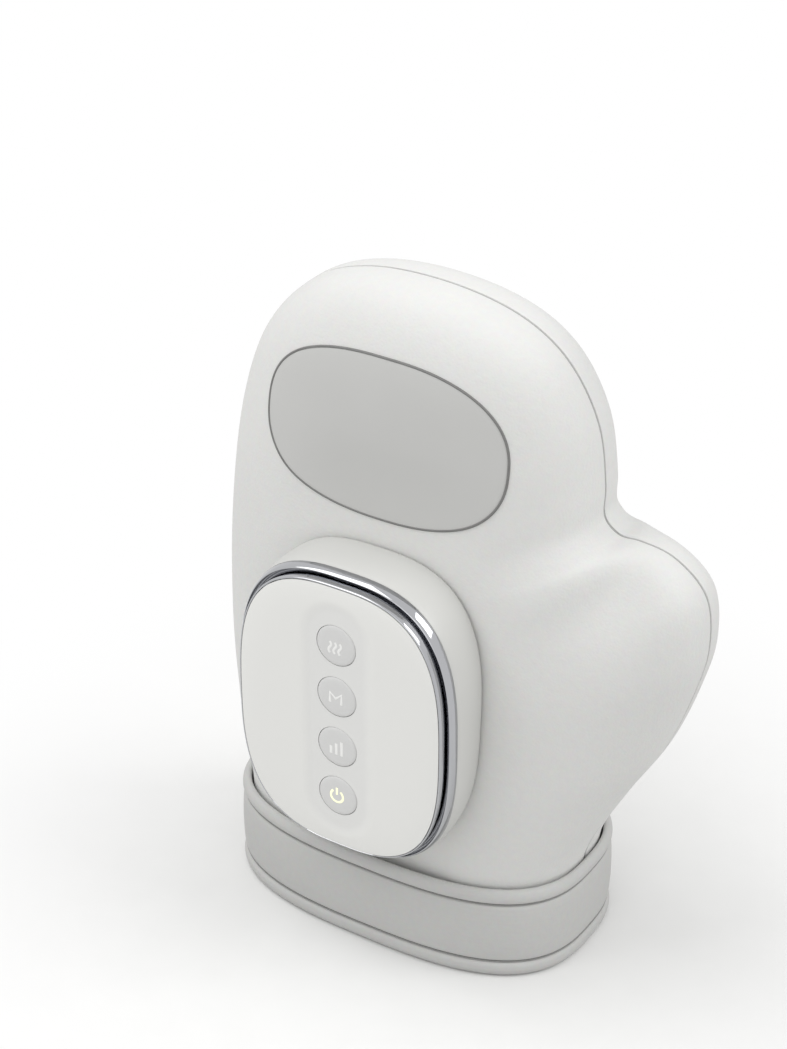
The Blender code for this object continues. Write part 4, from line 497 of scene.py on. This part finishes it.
lining_rows = [(math.pi / 2 * row / LINING_ROWS, 0.0) for row in range(LINING_ROWS + 1)]
for side, front in (("front", True), ("back", False)):
    lining_mesh = mitten_skin(front, LINING_DEPTH, LINING_STEPS, lining_rows)
    lining = add_piece(f"{side}_lining_knit", lining_mesh, lining_knit)
    thicken(lining, "knit", LINING_WALL)
    round_off(lining)
    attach(lining, "mitten")
    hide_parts(f"{side}_lining")


# Cuff: an elastic band round the mouth, between a padded rim above and a rolled foot that carries the
# mitten. Each is a closed loop of grey cloth; the rolls are sewn to the band with a sunk seam.
# Elastic knit: matt grey, with close ribs round it and a faint nap.
cuff_cloth, cuff_shader = start_material("grey_elastic_knit", {
    "Roughness": 0.8, "IOR": 1.46, "Specular IOR Level": 0.3, "Sheen Weight": 0.1, "Sheen Roughness": 0.5})
tree = cuff_cloth.node_tree
place = add_node(tree, "ShaderNodeTexCoord")
# The ribs are 0.5 mm apart, drawn 1.7 mm apart so that they show.
ribs = add_node(tree, "ShaderNodeTexWave", {"bands_direction": "Z", "wave_profile": "SIN"}, {
    "Vector": place.outputs["Object"], "Scale": 180.0, "Distortion": 3.0, "Detail": 2.0, "Detail Scale": 3.0})
nap = add_node(tree, "ShaderNodeTexNoise", inputs={
    "Vector": place.outputs["Object"], "Scale": 500.0, "Detail": 3.0, "Roughness": 0.6})
cloud = add_node(tree, "ShaderNodeTexNoise", inputs={
    "Vector": place.outputs["Object"], "Scale": 16.0, "Detail": 2.0})
shade = add_node(tree, "ShaderNodeMix", {"data_type": "RGBA"}, {
    "Factor": cloud.outputs["Fac"], "A": linear("#C4C4C2"), "B": linear("#CDCDCB")})
fleck = add_node(tree, "ShaderNodeMix", {"data_type": "RGBA", "blend_type": "MULTIPLY"}, {
    "Factor": 0.12, "A": shade.outputs["Result"], "B": nap.outputs["Color"]})
relief = add_node(tree, "ShaderNodeMath", {"operation": "MULTIPLY_ADD"}, {
    0: ribs.outputs["Fac"], 1: 0.25, 2: nap.outputs["Fac"]})
bump = add_node(tree, "ShaderNodeBump", inputs={
    "Strength": 0.28, "Distance": 0.0002, "Height": relief.outputs[0]})
tree.links.new(fleck.outputs["Result"], cuff_shader.inputs["Base Color"])
tree.links.new(bump.outputs["Normal"], cuff_shader.inputs["Normal"])


def oval_point(half_width, half_height, power, turn):
    """A point on a superellipse."""
    across, up = math.cos(turn), math.sin(turn)
    return (math.copysign(half_width * abs(across) ** (2 / power), across),
            math.copysign(half_height * abs(up) ** (2 / power), up))


def oval_ring(name, profile, halves, power, place, upright, sides=192):
    """A closed ring on a superellipse; its profile gives how far each row is drawn in, and its depth.

    A third number in a row is how much its depth grows with height.
    """
    bm = bmesh.new()
    bmesh.ops.create_grid(bm, x_segments=sides, y_segments=len(profile), size=1.0)
    for vert in bm.verts:
        column = round((vert.co.x + 1) / 2 * sides) % sides
        drawn_in, depth, *slope = profile[round((vert.co.y + 1) / 2 * len(profile)) % len(profile)]
        across, up = oval_point(halves[0] - drawn_in, halves[1] - drawn_in, power, math.tau * column / sides)
        depth += sum(slope) * up
        vert.co = Vector((across, depth, up) if upright else (across, up, depth)) / 1000
    bmesh.ops.remove_doubles(bm, verts=bm.verts[:], dist=1e-7)
    bmesh.ops.recalc_face_normals(bm, faces=bm.faces[:])
    return finish_mesh(bm, name, place)


CUFF_HALVES = (65.3, 39.25)
BAND_ROWS = ((0.1, 6.6), (-1.7, 6.45), (-2.35, 6.75), (-2.65, 7.6), (-2.95, 11.0), (-3.2, 18.5),
             (-2.95, 26.0), (-2.65, 29.3), (-2.35, 30.25), (-1.7, 30.55), (0.1, 30.4), (0.1, 18.5))
TOP_ROWS = ((0.1, 31.1), (-1.7, 31.15), (-2.4, 31.35), (-2.9, 32.3), (-3.0, 33.6), (-2.75, 35.0),
            (-2.2, 35.95), (-1.4, 36.45), (-0.6, 36.45), (0.05, 35.9), (0.15, 34.5))
FOOT_ROWS = ((11.7, 0.0), (5.0, 0.0), (-1.2, 0.0), (-2.2, 0.35), (-2.9, 1.4), (-3.15, 3.0), (-3.0, 4.6),
             (-2.5, 5.6), (-1.7, 5.95), (-0.1, 5.9), (-0.1, 3.0), (0.2, 1.5), (5.0, 1.5), (11.7, 1.5))
for title, node, rows in (("cuff_elastic", "cuff_band", BAND_ROWS), ("cuff_rim", "cuff_top_roll", TOP_ROWS),
                          ("cuff_foot", "cuff_bottom_roll", FOOT_ROWS)):
    ring = add_piece(title, oval_ring(title, rows, CUFF_HALVES, SECTION_POWER, MITTEN, False), cuff_cloth)
    round_off(ring)
    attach(ring, "mitten")
    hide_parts(node)

# Sunk seams: dark thread in the grooves over and under the band.
seam_thread, thread_shader = start_material("dark_grey_thread", {"Roughness": 0.9, "Specular IOR Level": 0.2})
tree = seam_thread.node_tree
place = add_node(tree, "ShaderNodeTexCoord")
twist = add_node(tree, "ShaderNodeTexNoise", inputs={"Vector": place.outputs["Object"], "Scale": 800.0})
shade = add_node(tree, "ShaderNodeMix", {"data_type": "RGBA"}, {
    "Factor": twist.outputs["Fac"], "A": linear("#8A8A88"), "B": linear("#9C9C9A")})
tree.links.new(shade.outputs["Result"], thread_shader.inputs["Base Color"])
THREAD_RADIUS = 0.00028
THREAD_REACH = 2.1
THREAD_STEPS = 180
for title, height in (("cuff_upper_thread", 30.85), ("cuff_lower_thread", 6.2)):
    turns = [math.tau * step / THREAD_STEPS for step in range(THREAD_STEPS)]
    loop = [oval_point(*[half + THREAD_REACH for half in CUFF_HALVES], SECTION_POWER, turn) for turn in turns]
    thread_points = [Vector((across, out, height)) / 1000 for across, out in loop]
    thread_mesh = cord_mesh(title, thread_points, THREAD_RADIUS, True)
    thread_mesh.transform(MITTEN)
    thread = add_piece(title, thread_mesh, seam_thread)
    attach(thread, "mitten")


# Oval panel: a patch of flat grey film bonded into the front cover over the fingers. A dark grey bead
# runs all round its edge; its dark colour is painted shade of the groove between panel and cover.
# TPU film: matt, faintly grained, a flat mid grey.
panel_film, film_shader = start_material("matt_grey_tpu_film", {
    "Roughness": 0.6, "IOR": 1.5, "Specular IOR Level": 0.35})
tree = panel_film.node_tree
place = add_node(tree, "ShaderNodeTexCoord")
grain = add_node(tree, "ShaderNodeTexNoise", inputs={
    "Vector": place.outputs["Object"], "Scale": 700.0, "Detail": 3.0, "Roughness": 0.6})
cloud = add_node(tree, "ShaderNodeTexNoise", inputs={
    "Vector": place.outputs["Object"], "Scale": 20.0, "Detail": 2.0})
shade = add_node(tree, "ShaderNodeMix", {"data_type": "RGBA"}, {
    "Factor": cloud.outputs["Fac"], "A": linear("#C0C0BE"), "B": linear("#C8C8C6")})
bump = add_node(tree, "ShaderNodeBump", inputs={
    "Strength": 0.15, "Distance": 0.0001, "Height": grain.outputs["Fac"]})
tree.links.new(shade.outputs["Result"], film_shader.inputs["Base Color"])
tree.links.new(bump.outputs["Normal"], film_shader.inputs["Normal"])
front_skin = covers["front"].evaluated_get(bpy.context.evaluated_depsgraph_get()).to_mesh()
bm = bmesh.new()
bm.from_mesh(front_skin)
FRONT_TREE = BVHTree.FromBMesh(bm)
bm.free()
PANEL_SIDES = 96
PANEL_RINGS = (0.0, 0.2, 0.4, 0.6, 0.75, 0.88, 0.96, 1.0)
PANEL_PROUD = 0.35
FILM_WALL = 0.0006
IN_FRONT = -0.08


def on_front(across, height, proud):
    """The place on the front cover over a spot of the mitten, lifted by a few tenths of a millimetre."""
    spot = MITTEN @ Vector((across / 1000, IN_FRONT, height / 1000))
    hit, normal = FRONT_TREE.ray_cast(spot, Vector((0, 1, 0)))[:2]
    return hit + normal * (proud / 1000)


bm = bmesh.new()
bmesh.ops.create_grid(bm, x_segments=PANEL_SIDES, y_segments=len(PANEL_RINGS) - 1, size=1.0)
for vert in bm.verts:
    column = round((vert.co.x + 1) / 2 * PANEL_SIDES) % PANEL_SIDES
    share = PANEL_RINGS[round((vert.co.y + 1) / 2 * (len(PANEL_RINGS) - 1))]
    across, up = oval_point(*PANEL_HALVES, PANEL_POWER, math.tau * column / PANEL_SIDES)
    vert.co = on_front(PANEL_MIDDLE[0] + across * share, PANEL_MIDDLE[1] + up * share, PANEL_PROUD)
bmesh.ops.remove_doubles(bm, verts=bm.verts[:], dist=1e-6)
bmesh.ops.recalc_face_normals(bm, faces=bm.faces[:])
if sum(face.normal.y * face.calc_area() for face in bm.faces) > 0:
    bmesh.ops.reverse_faces(bm, faces=bm.faces[:])
panel = add_piece("oval_panel_film", finish_mesh(bm, "oval_panel_film"), panel_film)
thicken(panel, "film", FILM_WALL)
round_off(panel)
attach(panel, "mitten")
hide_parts("oval_panel")

# Edge bead: dark grey as painted shade of the groove round the panel, softly glossy, a little uneven.
groove_shade_bead, bead_shader = start_material("painted_groove_shade_bead", {"Roughness": 0.5, "IOR": 1.5})
tree = groove_shade_bead.node_tree
place = add_node(tree, "ShaderNodeTexCoord")
ripple = add_node(tree, "ShaderNodeTexNoise", inputs={"Vector": place.outputs["Object"], "Scale": 300.0})
shade = add_node(tree, "ShaderNodeMix", {"data_type": "RGBA"}, {
    "Factor": ripple.outputs["Fac"], "A": linear("#6A6A69"), "B": linear("#7E7E7C")})
tree.links.new(shade.outputs["Result"], bead_shader.inputs["Base Color"])
BEAD_RADIUS = 0.00045
BEAD_PROUD = 0.1
BEAD_STEPS = 160
rim = [oval_point(*PANEL_HALVES, PANEL_POWER, math.tau * step / BEAD_STEPS) for step in range(BEAD_STEPS)]
bead_points = [on_front(PANEL_MIDDLE[0] + across, PANEL_MIDDLE[1] + up, BEAD_PROUD) for across, up in rim]
bead = add_piece("oval_panel_bead", cord_mesh("oval_panel_bead", bead_points, BEAD_RADIUS, True), groove_shade_bead)
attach(bead, "mitten")


# Controller shell: a deep ring of satin ABS with softly rounded sides, moulded in one piece. Its back
# leans with the cover and its front is upright; a slot at its foot lets the charging plug in.
CONTROLLER = Matrix.Translation((-0.01595, -0.024707, 0.1016))
# ABS moulded in a fine-blasted tool: satin, with a haze of tiny pits, slightly warm grey-white.
satin_abs, abs_shader = start_material("satin_abs", {
    "Roughness": 0.42, "IOR": 1.53, "Specular IOR Level": 0.45})
tree = satin_abs.node_tree
place = add_node(tree, "ShaderNodeTexCoord")
pits = add_node(tree, "ShaderNodeTexNoise", inputs={
    "Vector": place.outputs["Object"], "Scale": 1400.0, "Detail": 2.0, "Roughness": 0.5})
flow = add_node(tree, "ShaderNodeTexNoise", inputs={
    "Vector": place.outputs["Object"], "Scale": 12.0, "Detail": 1.0})
shade = add_node(tree, "ShaderNodeMix", {"data_type": "RGBA"}, {
    "Factor": flow.outputs["Fac"], "A": linear("#CACAC7"), "B": linear("#CFCFCC")})
rough = add_node(tree, "ShaderNodeMapRange", inputs={
    "Value": flow.outputs["Fac"], "To Min": 0.38, "To Max": 0.46})
bump = add_node(tree, "ShaderNodeBump", inputs={
    "Strength": 0.08, "Distance": 0.00008, "Height": pits.outputs["Fac"]})
tree.links.new(shade.outputs["Result"], abs_shader.inputs["Base Color"])
tree.links.new(rough.outputs["Result"], abs_shader.inputs["Roughness"])
tree.links.new(bump.outputs["Normal"], abs_shader.inputs["Normal"])
SHELL_ROWS = ((3.7, -0.35), (2.6, -0.32), (1.7, -0.45), (0.95, -0.95), (0.45, -1.8), (0.1, -3.1),
              (-0.15, -5.0), (-0.4, -7.5), (-0.5, -10.0), (-0.4, -12.6), (-0.15, -14.8), (0.05, -16.2),
              (0.25, -16.8), (0.6, -17.0), (2.0, -17.0), (2.0, -10.0), (2.0, -4.0))
LEAN_FADE = (3.5, 15.0)
shell_rows = [(drawn_in, depth, SEAT_SLOPE * (1 - ramp(-depth, *LEAN_FADE)))
              for drawn_in, depth in SHELL_ROWS]
shell_mesh = oval_ring("controller_side", shell_rows, CONTROLLER_HALVES, CONTROLLER_POWER, CONTROLLER, True)
shell = add_piece("controller_side", shell_mesh, satin_abs)
SLOT_PLACE = Matrix.Translation((0, -0.0110, -0.0540))
SLOT_SIZE = Matrix.Diagonal((0.0098, 0.0040, 0.0080, 1.0))
SLOT_ROUNDING = 0.0016
bm = bmesh.new()
bmesh.ops.create_cube(bm, size=1.0, matrix=SLOT_PLACE @ SLOT_SIZE)
uprights = [edge for edge in bm.edges if abs((edge.verts[0].co - edge.verts[1].co).z) > 0.001]
bmesh.ops.bevel(bm, geom=uprights, offset=SLOT_ROUNDING, segments=6, affect="EDGES", profile=0.5, material=-1)


def cut_away(piece, mesh):
    """Cuts a closed mesh out of a piece, and bakes the piece's modifiers into its own mesh."""
    cutter = bpy.data.objects.new(mesh.name, mesh)
    scene.collection.objects.link(cutter)
    piece.modifiers.new("cut", "BOOLEAN").object = cutter
    baked = bpy.data.meshes.new_from_object(piece.evaluated_get(bpy.context.evaluated_depsgraph_get()))
    piece.modifiers.clear()
    piece.data = baked
    bpy.data.objects.remove(cutter)


cut_away(shell, finish_mesh(bm, "port_slot", CONTROLLER))
shell.data.set_sharp_from_angle(angle=math.radians(35))
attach(shell, "mitten")
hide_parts("controller_shell")


# Bezel: a ring of chromed ABS that clips over the shell's front and holds the face plate's rim. A low
# shoulder runs round its outside and a deep groove parts that from the high inner edge.
# Chrome is a mirror that gives back under half the light; in the groove it mirrors itself and darkens.
bright_chrome, chrome_shader = start_material("bright_chrome_plate", {"Metallic": 1.0, "Roughness": 0.05})
tree = bright_chrome.node_tree
place = add_node(tree, "ShaderNodeTexCoord")
haze = add_node(tree, "ShaderNodeTexNoise", inputs={
    "Vector": place.outputs["Object"], "Scale": 35.0, "Detail": 3.0})
shade = add_node(tree, "ShaderNodeMix", {"data_type": "RGBA"}, {
    "Factor": haze.outputs["Fac"], "A": linear("#AEAFB2"), "B": linear("#B6B7BA")})
rough = add_node(tree, "ShaderNodeMapRange", inputs={
    "Value": haze.outputs["Fac"], "To Min": 0.04, "To Max": 0.09})
tree.links.new(shade.outputs["Result"], chrome_shader.inputs["Base Color"])
tree.links.new(rough.outputs["Result"], chrome_shader.inputs["Roughness"])
SHOULDER_STEPS = 14
SHOULDER_WIDTH = 1.1
SHOULDER_RISE = 3.4
SHOULDER_POWER = 1.6
BEZEL_BACK = -17.3
turns = [math.pi / 2 * step / SHOULDER_STEPS for step in range(SHOULDER_STEPS + 1)]
shoulder = [oval_point(SHOULDER_WIDTH, SHOULDER_RISE, SHOULDER_POWER, turn) for turn in turns]
bezel_rows = [(SHOULDER_WIDTH - inside, BEZEL_BACK - forwards) for inside, forwards in shoulder]
bezel_rows += [(1.24, -20.55), (1.3, -20.1), (1.36, -19.3), (1.5, -18.9), (1.75, -18.8), (2.0, -19.0),
               (2.12, -19.6), (2.3, -21.2), (2.45, -22.6), (2.53, -23.2), (2.62, -23.56), (2.74, -23.74),
               (2.86, -23.8), (3.0, -23.8)]
bezel_rows += [(3.15, -23.6), (3.0, -21.9), (4.0, -21.9), (4.0, -20.9), (1.2, BEZEL_BACK)]
bezel_mesh = oval_ring("bezel_ring", bezel_rows, CONTROLLER_HALVES, CONTROLLER_POWER, CONTROLLER, True)
bezel = add_piece("bezel_ring", bezel_mesh, bright_chrome)
bezel.data.set_sharp_from_angle(angle=math.radians(40))
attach(bezel, "mitten")
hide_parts("chrome_bezel")


# Face plate: glossy white ABS with a low crown. A shallow pill runs up its middle, and the four buttons
# stand in round holes in it.
# Polished ABS: white, under a thin glossy skin, with a slight unevenness where it flowed.
gloss_abs, face_shader = start_material("gloss_abs", {
    "Roughness": 0.12, "IOR": 1.53, "Coat Weight": 0.25, "Coat Roughness": 0.06})
tree = gloss_abs.node_tree
place = add_node(tree, "ShaderNodeTexCoord")
flow = add_node(tree, "ShaderNodeTexNoise", inputs={
    "Vector": place.outputs["Object"], "Scale": 10.0, "Detail": 1.0})
shade = add_node(tree, "ShaderNodeMix", {"data_type": "RGBA"}, {
    "Factor": flow.outputs["Fac"], "A": linear("#E8E8E5"), "B": linear("#EBEBE8")})
# The pill's floor is a shade greyer than the rest of the face.
field = add_node(tree, "ShaderNodeAttribute", {"attribute_name": "pill_field"})
greyed = add_node(tree, "ShaderNodeMix", {"data_type": "RGBA"}, {
    "Factor": field.outputs["Fac"], "A": shade.outputs["Result"], "B": linear("#E4E4E2")})
rough = add_node(tree, "ShaderNodeMapRange", inputs={
    "Value": flow.outputs["Fac"], "To Min": 0.14, "To Max": 0.22})
tree.links.new(greyed.outputs["Result"], face_shader.inputs["Base Color"])
tree.links.new(rough.outputs["Result"], face_shader.inputs["Roughness"])
FACE_HALVES = (38.5, 50.7)
FACE_FRONT = -24.8
FACE_WALL = 0.0016
CROWN_SHARE = 0.45
CROWN_POWER = 4.4
PILL_MIDDLE = -0.4
PILL_HALF_WIDTH = 12.5
PILL_BANK = (-2.6, 1.8)
PILL_STRAIGHT = 32.3
PILL_DEPTH = 0.5
HOLE_RADIUS = 0.00762
HOLE_LENGTH = 0.02
HOLE_MIDDLE = -0.024
BUTTON_HEIGHTS = (29.47, 9.56, -10.36, -30.27)


def pill_share(across, up):
    """How far into the pill a place on the face is: 0 outside it, 1 on its floor."""
    from_pill = math.hypot(across, max(abs(up - PILL_MIDDLE) - PILL_STRAIGHT, 0.0))
    return 1 - ramp(from_pill, *[PILL_HALF_WIDTH + bank for bank in PILL_BANK])


def facing_out(depth, height):
    """The place of a turned piece that faces out of the controller's front."""
    return Matrix.Translation((0, depth, height / 1000)) @ Matrix.Rotation(math.pi / 2, 4, "X")


bm = bmesh.new()
bmesh.ops.create_grid(bm, x_segments=110, y_segments=140, size=1.0)
for vert in bm.verts:
    side = max(abs(vert.co.x), abs(vert.co.y))
    way = Vector((vert.co.x * FACE_HALVES[0], vert.co.y * FACE_HALVES[1]))
    if side > 0:
        way.normalize()
        shares = (abs(way.x / FACE_HALVES[0]), abs(way.y / FACE_HALVES[1]))
        way *= side * sum(share**CONTROLLER_POWER for share in shares) ** (-1 / CONTROLLER_POWER)
    drop = max(0.0, 1 - (1 - side) / CROWN_SHARE) ** CROWN_POWER
    vert.co = Vector((way.x, FACE_FRONT + drop + PILL_DEPTH * pill_share(way.x, way.y), way.y)) / 1000
bmesh.ops.recalc_face_normals(bm, faces=bm.faces[:])
if sum(face.normal.y for face in bm.faces) > 0:
    bmesh.ops.reverse_faces(bm, faces=bm.faces[:])
face_piece = add_piece("face_plate_gloss", finish_mesh(bm, "face_plate_gloss", CONTROLLER), gloss_abs)
thicken(face_piece, "wall", FACE_WALL)
bm = bmesh.new()
for height in BUTTON_HEIGHTS:
    bmesh.ops.create_cone(bm, cap_ends=True, segments=96, radius1=HOLE_RADIUS, radius2=HOLE_RADIUS,
                          depth=HOLE_LENGTH, matrix=facing_out(HOLE_MIDDLE, height))
cut_away(face_piece, finish_mesh(bm, "button_holes", CONTROLLER))
face_piece.data.set_sharp_from_angle(angle=math.radians(40))
field_values = face_piece.data.attributes.new("pill_field", "FLOAT", "POINT")
for vert, value in zip(face_piece.data.vertices, field_values.data):
    spot = (CONTROLLER.inverted() @ vert.co) * 1000
    value.value = pill_share(spot.x, spot.z)
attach(face_piece, "mitten")
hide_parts("face_plate")


# Buttons: four pale grey caps that stand up from a flange behind the face, each with a see-through
# mark in its top. The power mark is lit from behind.
# Soft-feel ABS: satin, with a very fine grain.
button_abs, button_shader = start_material("pale_button_abs", {"Roughness": 0.38, "IOR": 1.53})
tree = button_abs.node_tree
place = add_node(tree, "ShaderNodeTexCoord")
pits = add_node(tree, "ShaderNodeTexNoise", inputs={
    "Vector": place.outputs["Object"], "Scale": 900.0, "Detail": 2.0})
shade = add_node(tree, "ShaderNodeMix", {"data_type": "RGBA"}, {
    "Factor": pits.outputs["Fac"], "A": linear("#D6D6D5"), "B": linear("#DADAD9")})
bump = add_node(tree, "ShaderNodeBump", inputs={
    "Strength": 0.05, "Distance": 0.00008, "Height": pits.outputs["Fac"]})
tree.links.new(shade.outputs["Result"], button_shader.inputs["Base Color"])
tree.links.new(bump.outputs["Normal"], button_shader.inputs["Normal"])
# Marks: milky polycarbonate, smoother and lighter than the cap; the lit one glows a pale yellow.
mark_pc, mark_shader = start_material("milky_polycarbonate", {"Roughness": 0.3, "IOR": 1.58})
lit_pc, lit_shader = start_material("lit_polycarbonate", {
    "Roughness": 0.3, "IOR": 1.58, "Emission Color": linear("#F6F6CE"), "Emission Strength": 0.35})
for material, shader, low, high in ((mark_pc, mark_shader, "#F2F2F0", "#F8F8F6"),
                                    (lit_pc, lit_shader, "#F2F2CC", "#FAFAD8")):
    tree = material.node_tree
    place = add_node(tree, "ShaderNodeTexCoord")
    milk = add_node(tree, "ShaderNodeTexNoise", inputs={"Vector": place.outputs["Object"], "Scale": 400.0})
    shade = add_node(tree, "ShaderNodeMix", {"data_type": "RGBA"}, {
        "Factor": milk.outputs["Fac"], "A": linear(low), "B": linear(high)})
    tree.links.new(shade.outputs["Result"], shader.inputs["Base Color"])
BUTTON_ROWS = ((0.0, 0.45), (2.5, 0.44), (4.6, 0.41), (6.0, 0.35), (6.75, 0.27), (7.2, 0.12),
               (7.42, -0.1), (7.5, -0.4), (7.5, -2.4), (8.6, -2.4), (8.6, -3.2), (2.5, -3.2), (2.5, -6.1),
               (0.0, -6.1))
BUTTON_FRONT = -0.0243
MARK_LIFT = 0.00042
MARK_FLATNESS = 0.2
WAVE_STEPS = 12
WAVE_SWING = 0.55
WAVE_TOP = 1.4
WAVE_HEIGHT = 4.4
ARC_RADIUS = 2.4
ARC_MIDDLE = -0.2
WAVE = [(WAVE_SWING * math.sin(math.tau * step / WAVE_STEPS), WAVE_TOP - WAVE_HEIGHT * step / WAVE_STEPS)
        for step in range(WAVE_STEPS + 1)]
ARC = [(ARC_RADIUS * math.cos(math.radians(turn)) + ARC_MIDDLE, ARC_RADIUS * math.sin(math.radians(turn)))
       for turn in range(125, 416, 10)]
# Each mark: half the width of its strokes, and the points of each stroke, in millimetres.
MARKS = {
    "heat_button": (0.45, [[(across + aside, up) for across, up in WAVE] for aside in (-2.15, -0.25, 1.65)]),
    "mode_button": (0.55, [[(-2.4, -2.4), (-2.4, 1.5), (-0.2, -0.6), (2.0, 1.5), (2.0, -2.4)]]),
    "intensity_button": (0.55, [[(across, -2.9), (across, top)]
                                for across, top in ((-2.3, 0.1), (-0.2, 1.5), (1.9, 2.6))]),
    "power_button": (0.45, [ARC, [(-0.2, 0.6), (-0.2, 3.3)]]),
}
for (title, (half_stroke, strokes)), height in zip(MARKS.items(), BUTTON_HEIGHTS):
    to_place = CONTROLLER @ facing_out(BUTTON_FRONT, height)
    bm = bmesh.new()
    corners = [bm.verts.new((radius / 1000, 0, out / 1000)) for radius, out in BUTTON_ROWS]
    sides = [bm.edges.new(pair) for pair in zip(corners, corners[1:])]
    bmesh.ops.spin(bm, geom=corners + sides, cent=(0, 0, 0), axis=(0, 0, 1), angle=math.tau, steps=96,
                   use_merge=True)
    bmesh.ops.remove_doubles(bm, verts=bm.verts[:], dist=1e-6)
    bmesh.ops.recalc_face_normals(bm, faces=bm.faces[:])
    cap = add_piece(f"{title}_cap", finish_mesh(bm, f"{title}_cap", to_place), button_abs)
    cap.data.set_sharp_from_angle(angle=math.radians(40))
    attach(cap, title)
    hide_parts(title)
    bm = bmesh.new()
    for stroke in strokes:
        points = [Vector((across, up, 0)) / 1000 for across, up in stroke]
        bm.from_mesh(cord_mesh("stroke", points, half_stroke / 1000))
    flatten = Matrix.Translation((0, 0, MARK_LIFT)) @ Matrix.Diagonal((1, 1, MARK_FLATNESS, 1))
    bmesh.ops.transform(bm, matrix=flatten, verts=bm.verts[:])
    milky = lit_pc if title == "power_button" else mark_pc
    mark = add_piece(f"{title}_mark", finish_mesh(bm, f"{title}_mark", to_place), milky)
    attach(mark, title)


# Inside: the pieces behind the shell and the covers keep their CAD shape and get only their finish.
# They are moulded, stamped, turned or bought in, each of one plain material: base, stiffener, board,
# cell, pump, air path, bags and heat films.
def speckled(name, low, high, grain_per_metre, roughness, sockets=None, relief=0.0):
    """A plain finish with a fine speckle, for a piece that keeps its CAD shape."""
    material, shader = start_material(name, {"Roughness": roughness, **(sockets or {})})
    tree = material.node_tree
    place = add_node(tree, "ShaderNodeTexCoord")
    grain = add_node(tree, "ShaderNodeTexNoise", inputs={
        "Vector": place.outputs["Object"], "Scale": grain_per_metre, "Detail": 3.0})
    shade = add_node(tree, "ShaderNodeMix", {"data_type": "RGBA"}, {
        "Factor": grain.outputs["Fac"], "A": linear(low), "B": linear(high)})
    tree.links.new(shade.outputs["Result"], shader.inputs["Base Color"])
    if relief:
        bump = add_node(tree, "ShaderNodeBump", inputs={
            "Strength": relief, "Distance": 0.0001, "Height": grain.outputs["Fac"]})
        tree.links.new(bump.outputs["Normal"], shader.inputs["Normal"])
    return material


def finish_nodes(material, *nodes):
    """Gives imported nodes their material."""
    for node in nodes:
        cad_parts[node].material_slots[0].material = material


# Inner ABS: as the shell but straight from a milled tool, so rougher.
finish_nodes(speckled("inner_abs", "#D2D1CC", "#D8D7D3", 500.0, 0.55, {"IOR": 1.53}, 0.1), "controller_base")
# Glass-filled nylon: dull dark grey with pale fibre flecks.
finish_nodes(speckled("glass_filled_nylon", "#3C3D40", "#56575A", 900.0, 0.6, {"IOR": 1.53}, 0.2),
             "mounting_plate")
# Solder mask over glass laminate: deep green, half gloss, with the weave just showing.
finish_nodes(speckled("green_board_laminate", "#0F4A26", "#1B5E33", 1200.0, 0.35, {"IOR": 1.5}, 0.15),
             "main_board")
# Keypad silicone: grey, dead matt.
finish_nodes(speckled("keypad_silicone", "#9A9B9D", "#A6A7A9", 600.0, 0.75, {"IOR": 1.41}, 0.1), "key_mat")
# Black ABS for the small housings on and under the board.
finish_nodes(speckled("black_abs", "#161617", "#222223", 700.0, 0.45, {"IOR": 1.53}, 0.1), "buzzer",
             "thermostat", "battery_holder", "pump_cradle", "front_release_valve", "back_release_valve")
# Unfilled nylon of the lead's plug: ivory, slightly glossy.
finish_nodes(speckled("ivory_nylon", "#E0DCC8", "#E8E4D2", 500.0, 0.4, {"IOR": 1.53}), "heater_plug")
# Zinc-plated steel of the screws, plungers and motor: bright, with fine turning marks.
finish_nodes(speckled("zinc_plated_steel", "#B4B5B8", "#C6C7C9", 1500.0, 0.3, {"Metallic": 1.0}, 0.1),
             "board_screw_lower_right", "board_screw_upper_left", "housing_screw_lower_left",
             "housing_screw_lower_right", "housing_screw_upper_left", "housing_screw_upper_right",
             "mounting_screw_lower_left", "mounting_screw_lower_right", "mounting_screw_upper_left",
             "mounting_screw_upper_right", "motor_can", "motor_shaft", "front_valve_plunger",
             "back_valve_plunger", "charging_port")
# Printed shrink wrap of the cell: smooth blue film, slightly glossy.
finish_nodes(speckled("shrink_wrap_film", "#1F4E86", "#265A97", 80.0, 0.3, {"IOR": 1.5}), "battery_cell")
# Acetal of the pump's moving and fixed bodies: milky white, waxy.
finish_nodes(speckled("white_acetal", "#DCDCD6", "#E6E6E0", 300.0, 0.4, {"IOR": 1.48}), "eccentric",
             "wobble_plate", "pump_housing", "valve_plate", "pump_cap", "air_manifold")
# Rubber of the pump's cups: black, matt.
finish_nodes(speckled("diaphragm_rubber", "#1B1B1C", "#262627", 800.0, 0.8, {"IOR": 1.52}, 0.15), "diaphragm")
# Silicone tube: cloudy, with a soft gloss.
finish_nodes(speckled("silicone_tube", "#C9C9C4", "#D6D6D1", 400.0, 0.35, {"IOR": 1.41}), "pump_tube",
             "front_air_tube", "back_air_tube", "front_valve_tube", "back_valve_tube")
# Glass-braid sleeve of the heater's lead: dark red, woven.
finish_nodes(speckled("braided_sleeve", "#5A1714", "#7A2420", 1600.0, 0.7, {"IOR": 1.5}, 0.4), "heater_lead")
# TPU film of the air bags: grey-blue, smooth, softly glossy.
finish_nodes(speckled("tpu_bag_film", "#A9B2BD", "#B6BFC9", 60.0, 0.3, {"IOR": 1.5}), "front_air_bag",
             "back_air_bag")
# Polyimide heater film: amber, with a thin gloss.
finish_nodes(speckled("polyimide_film", "#A4551C", "#B8662A", 120.0, 0.25, {"IOR": 1.7}), "front_heat_film",
             "back_heat_film")
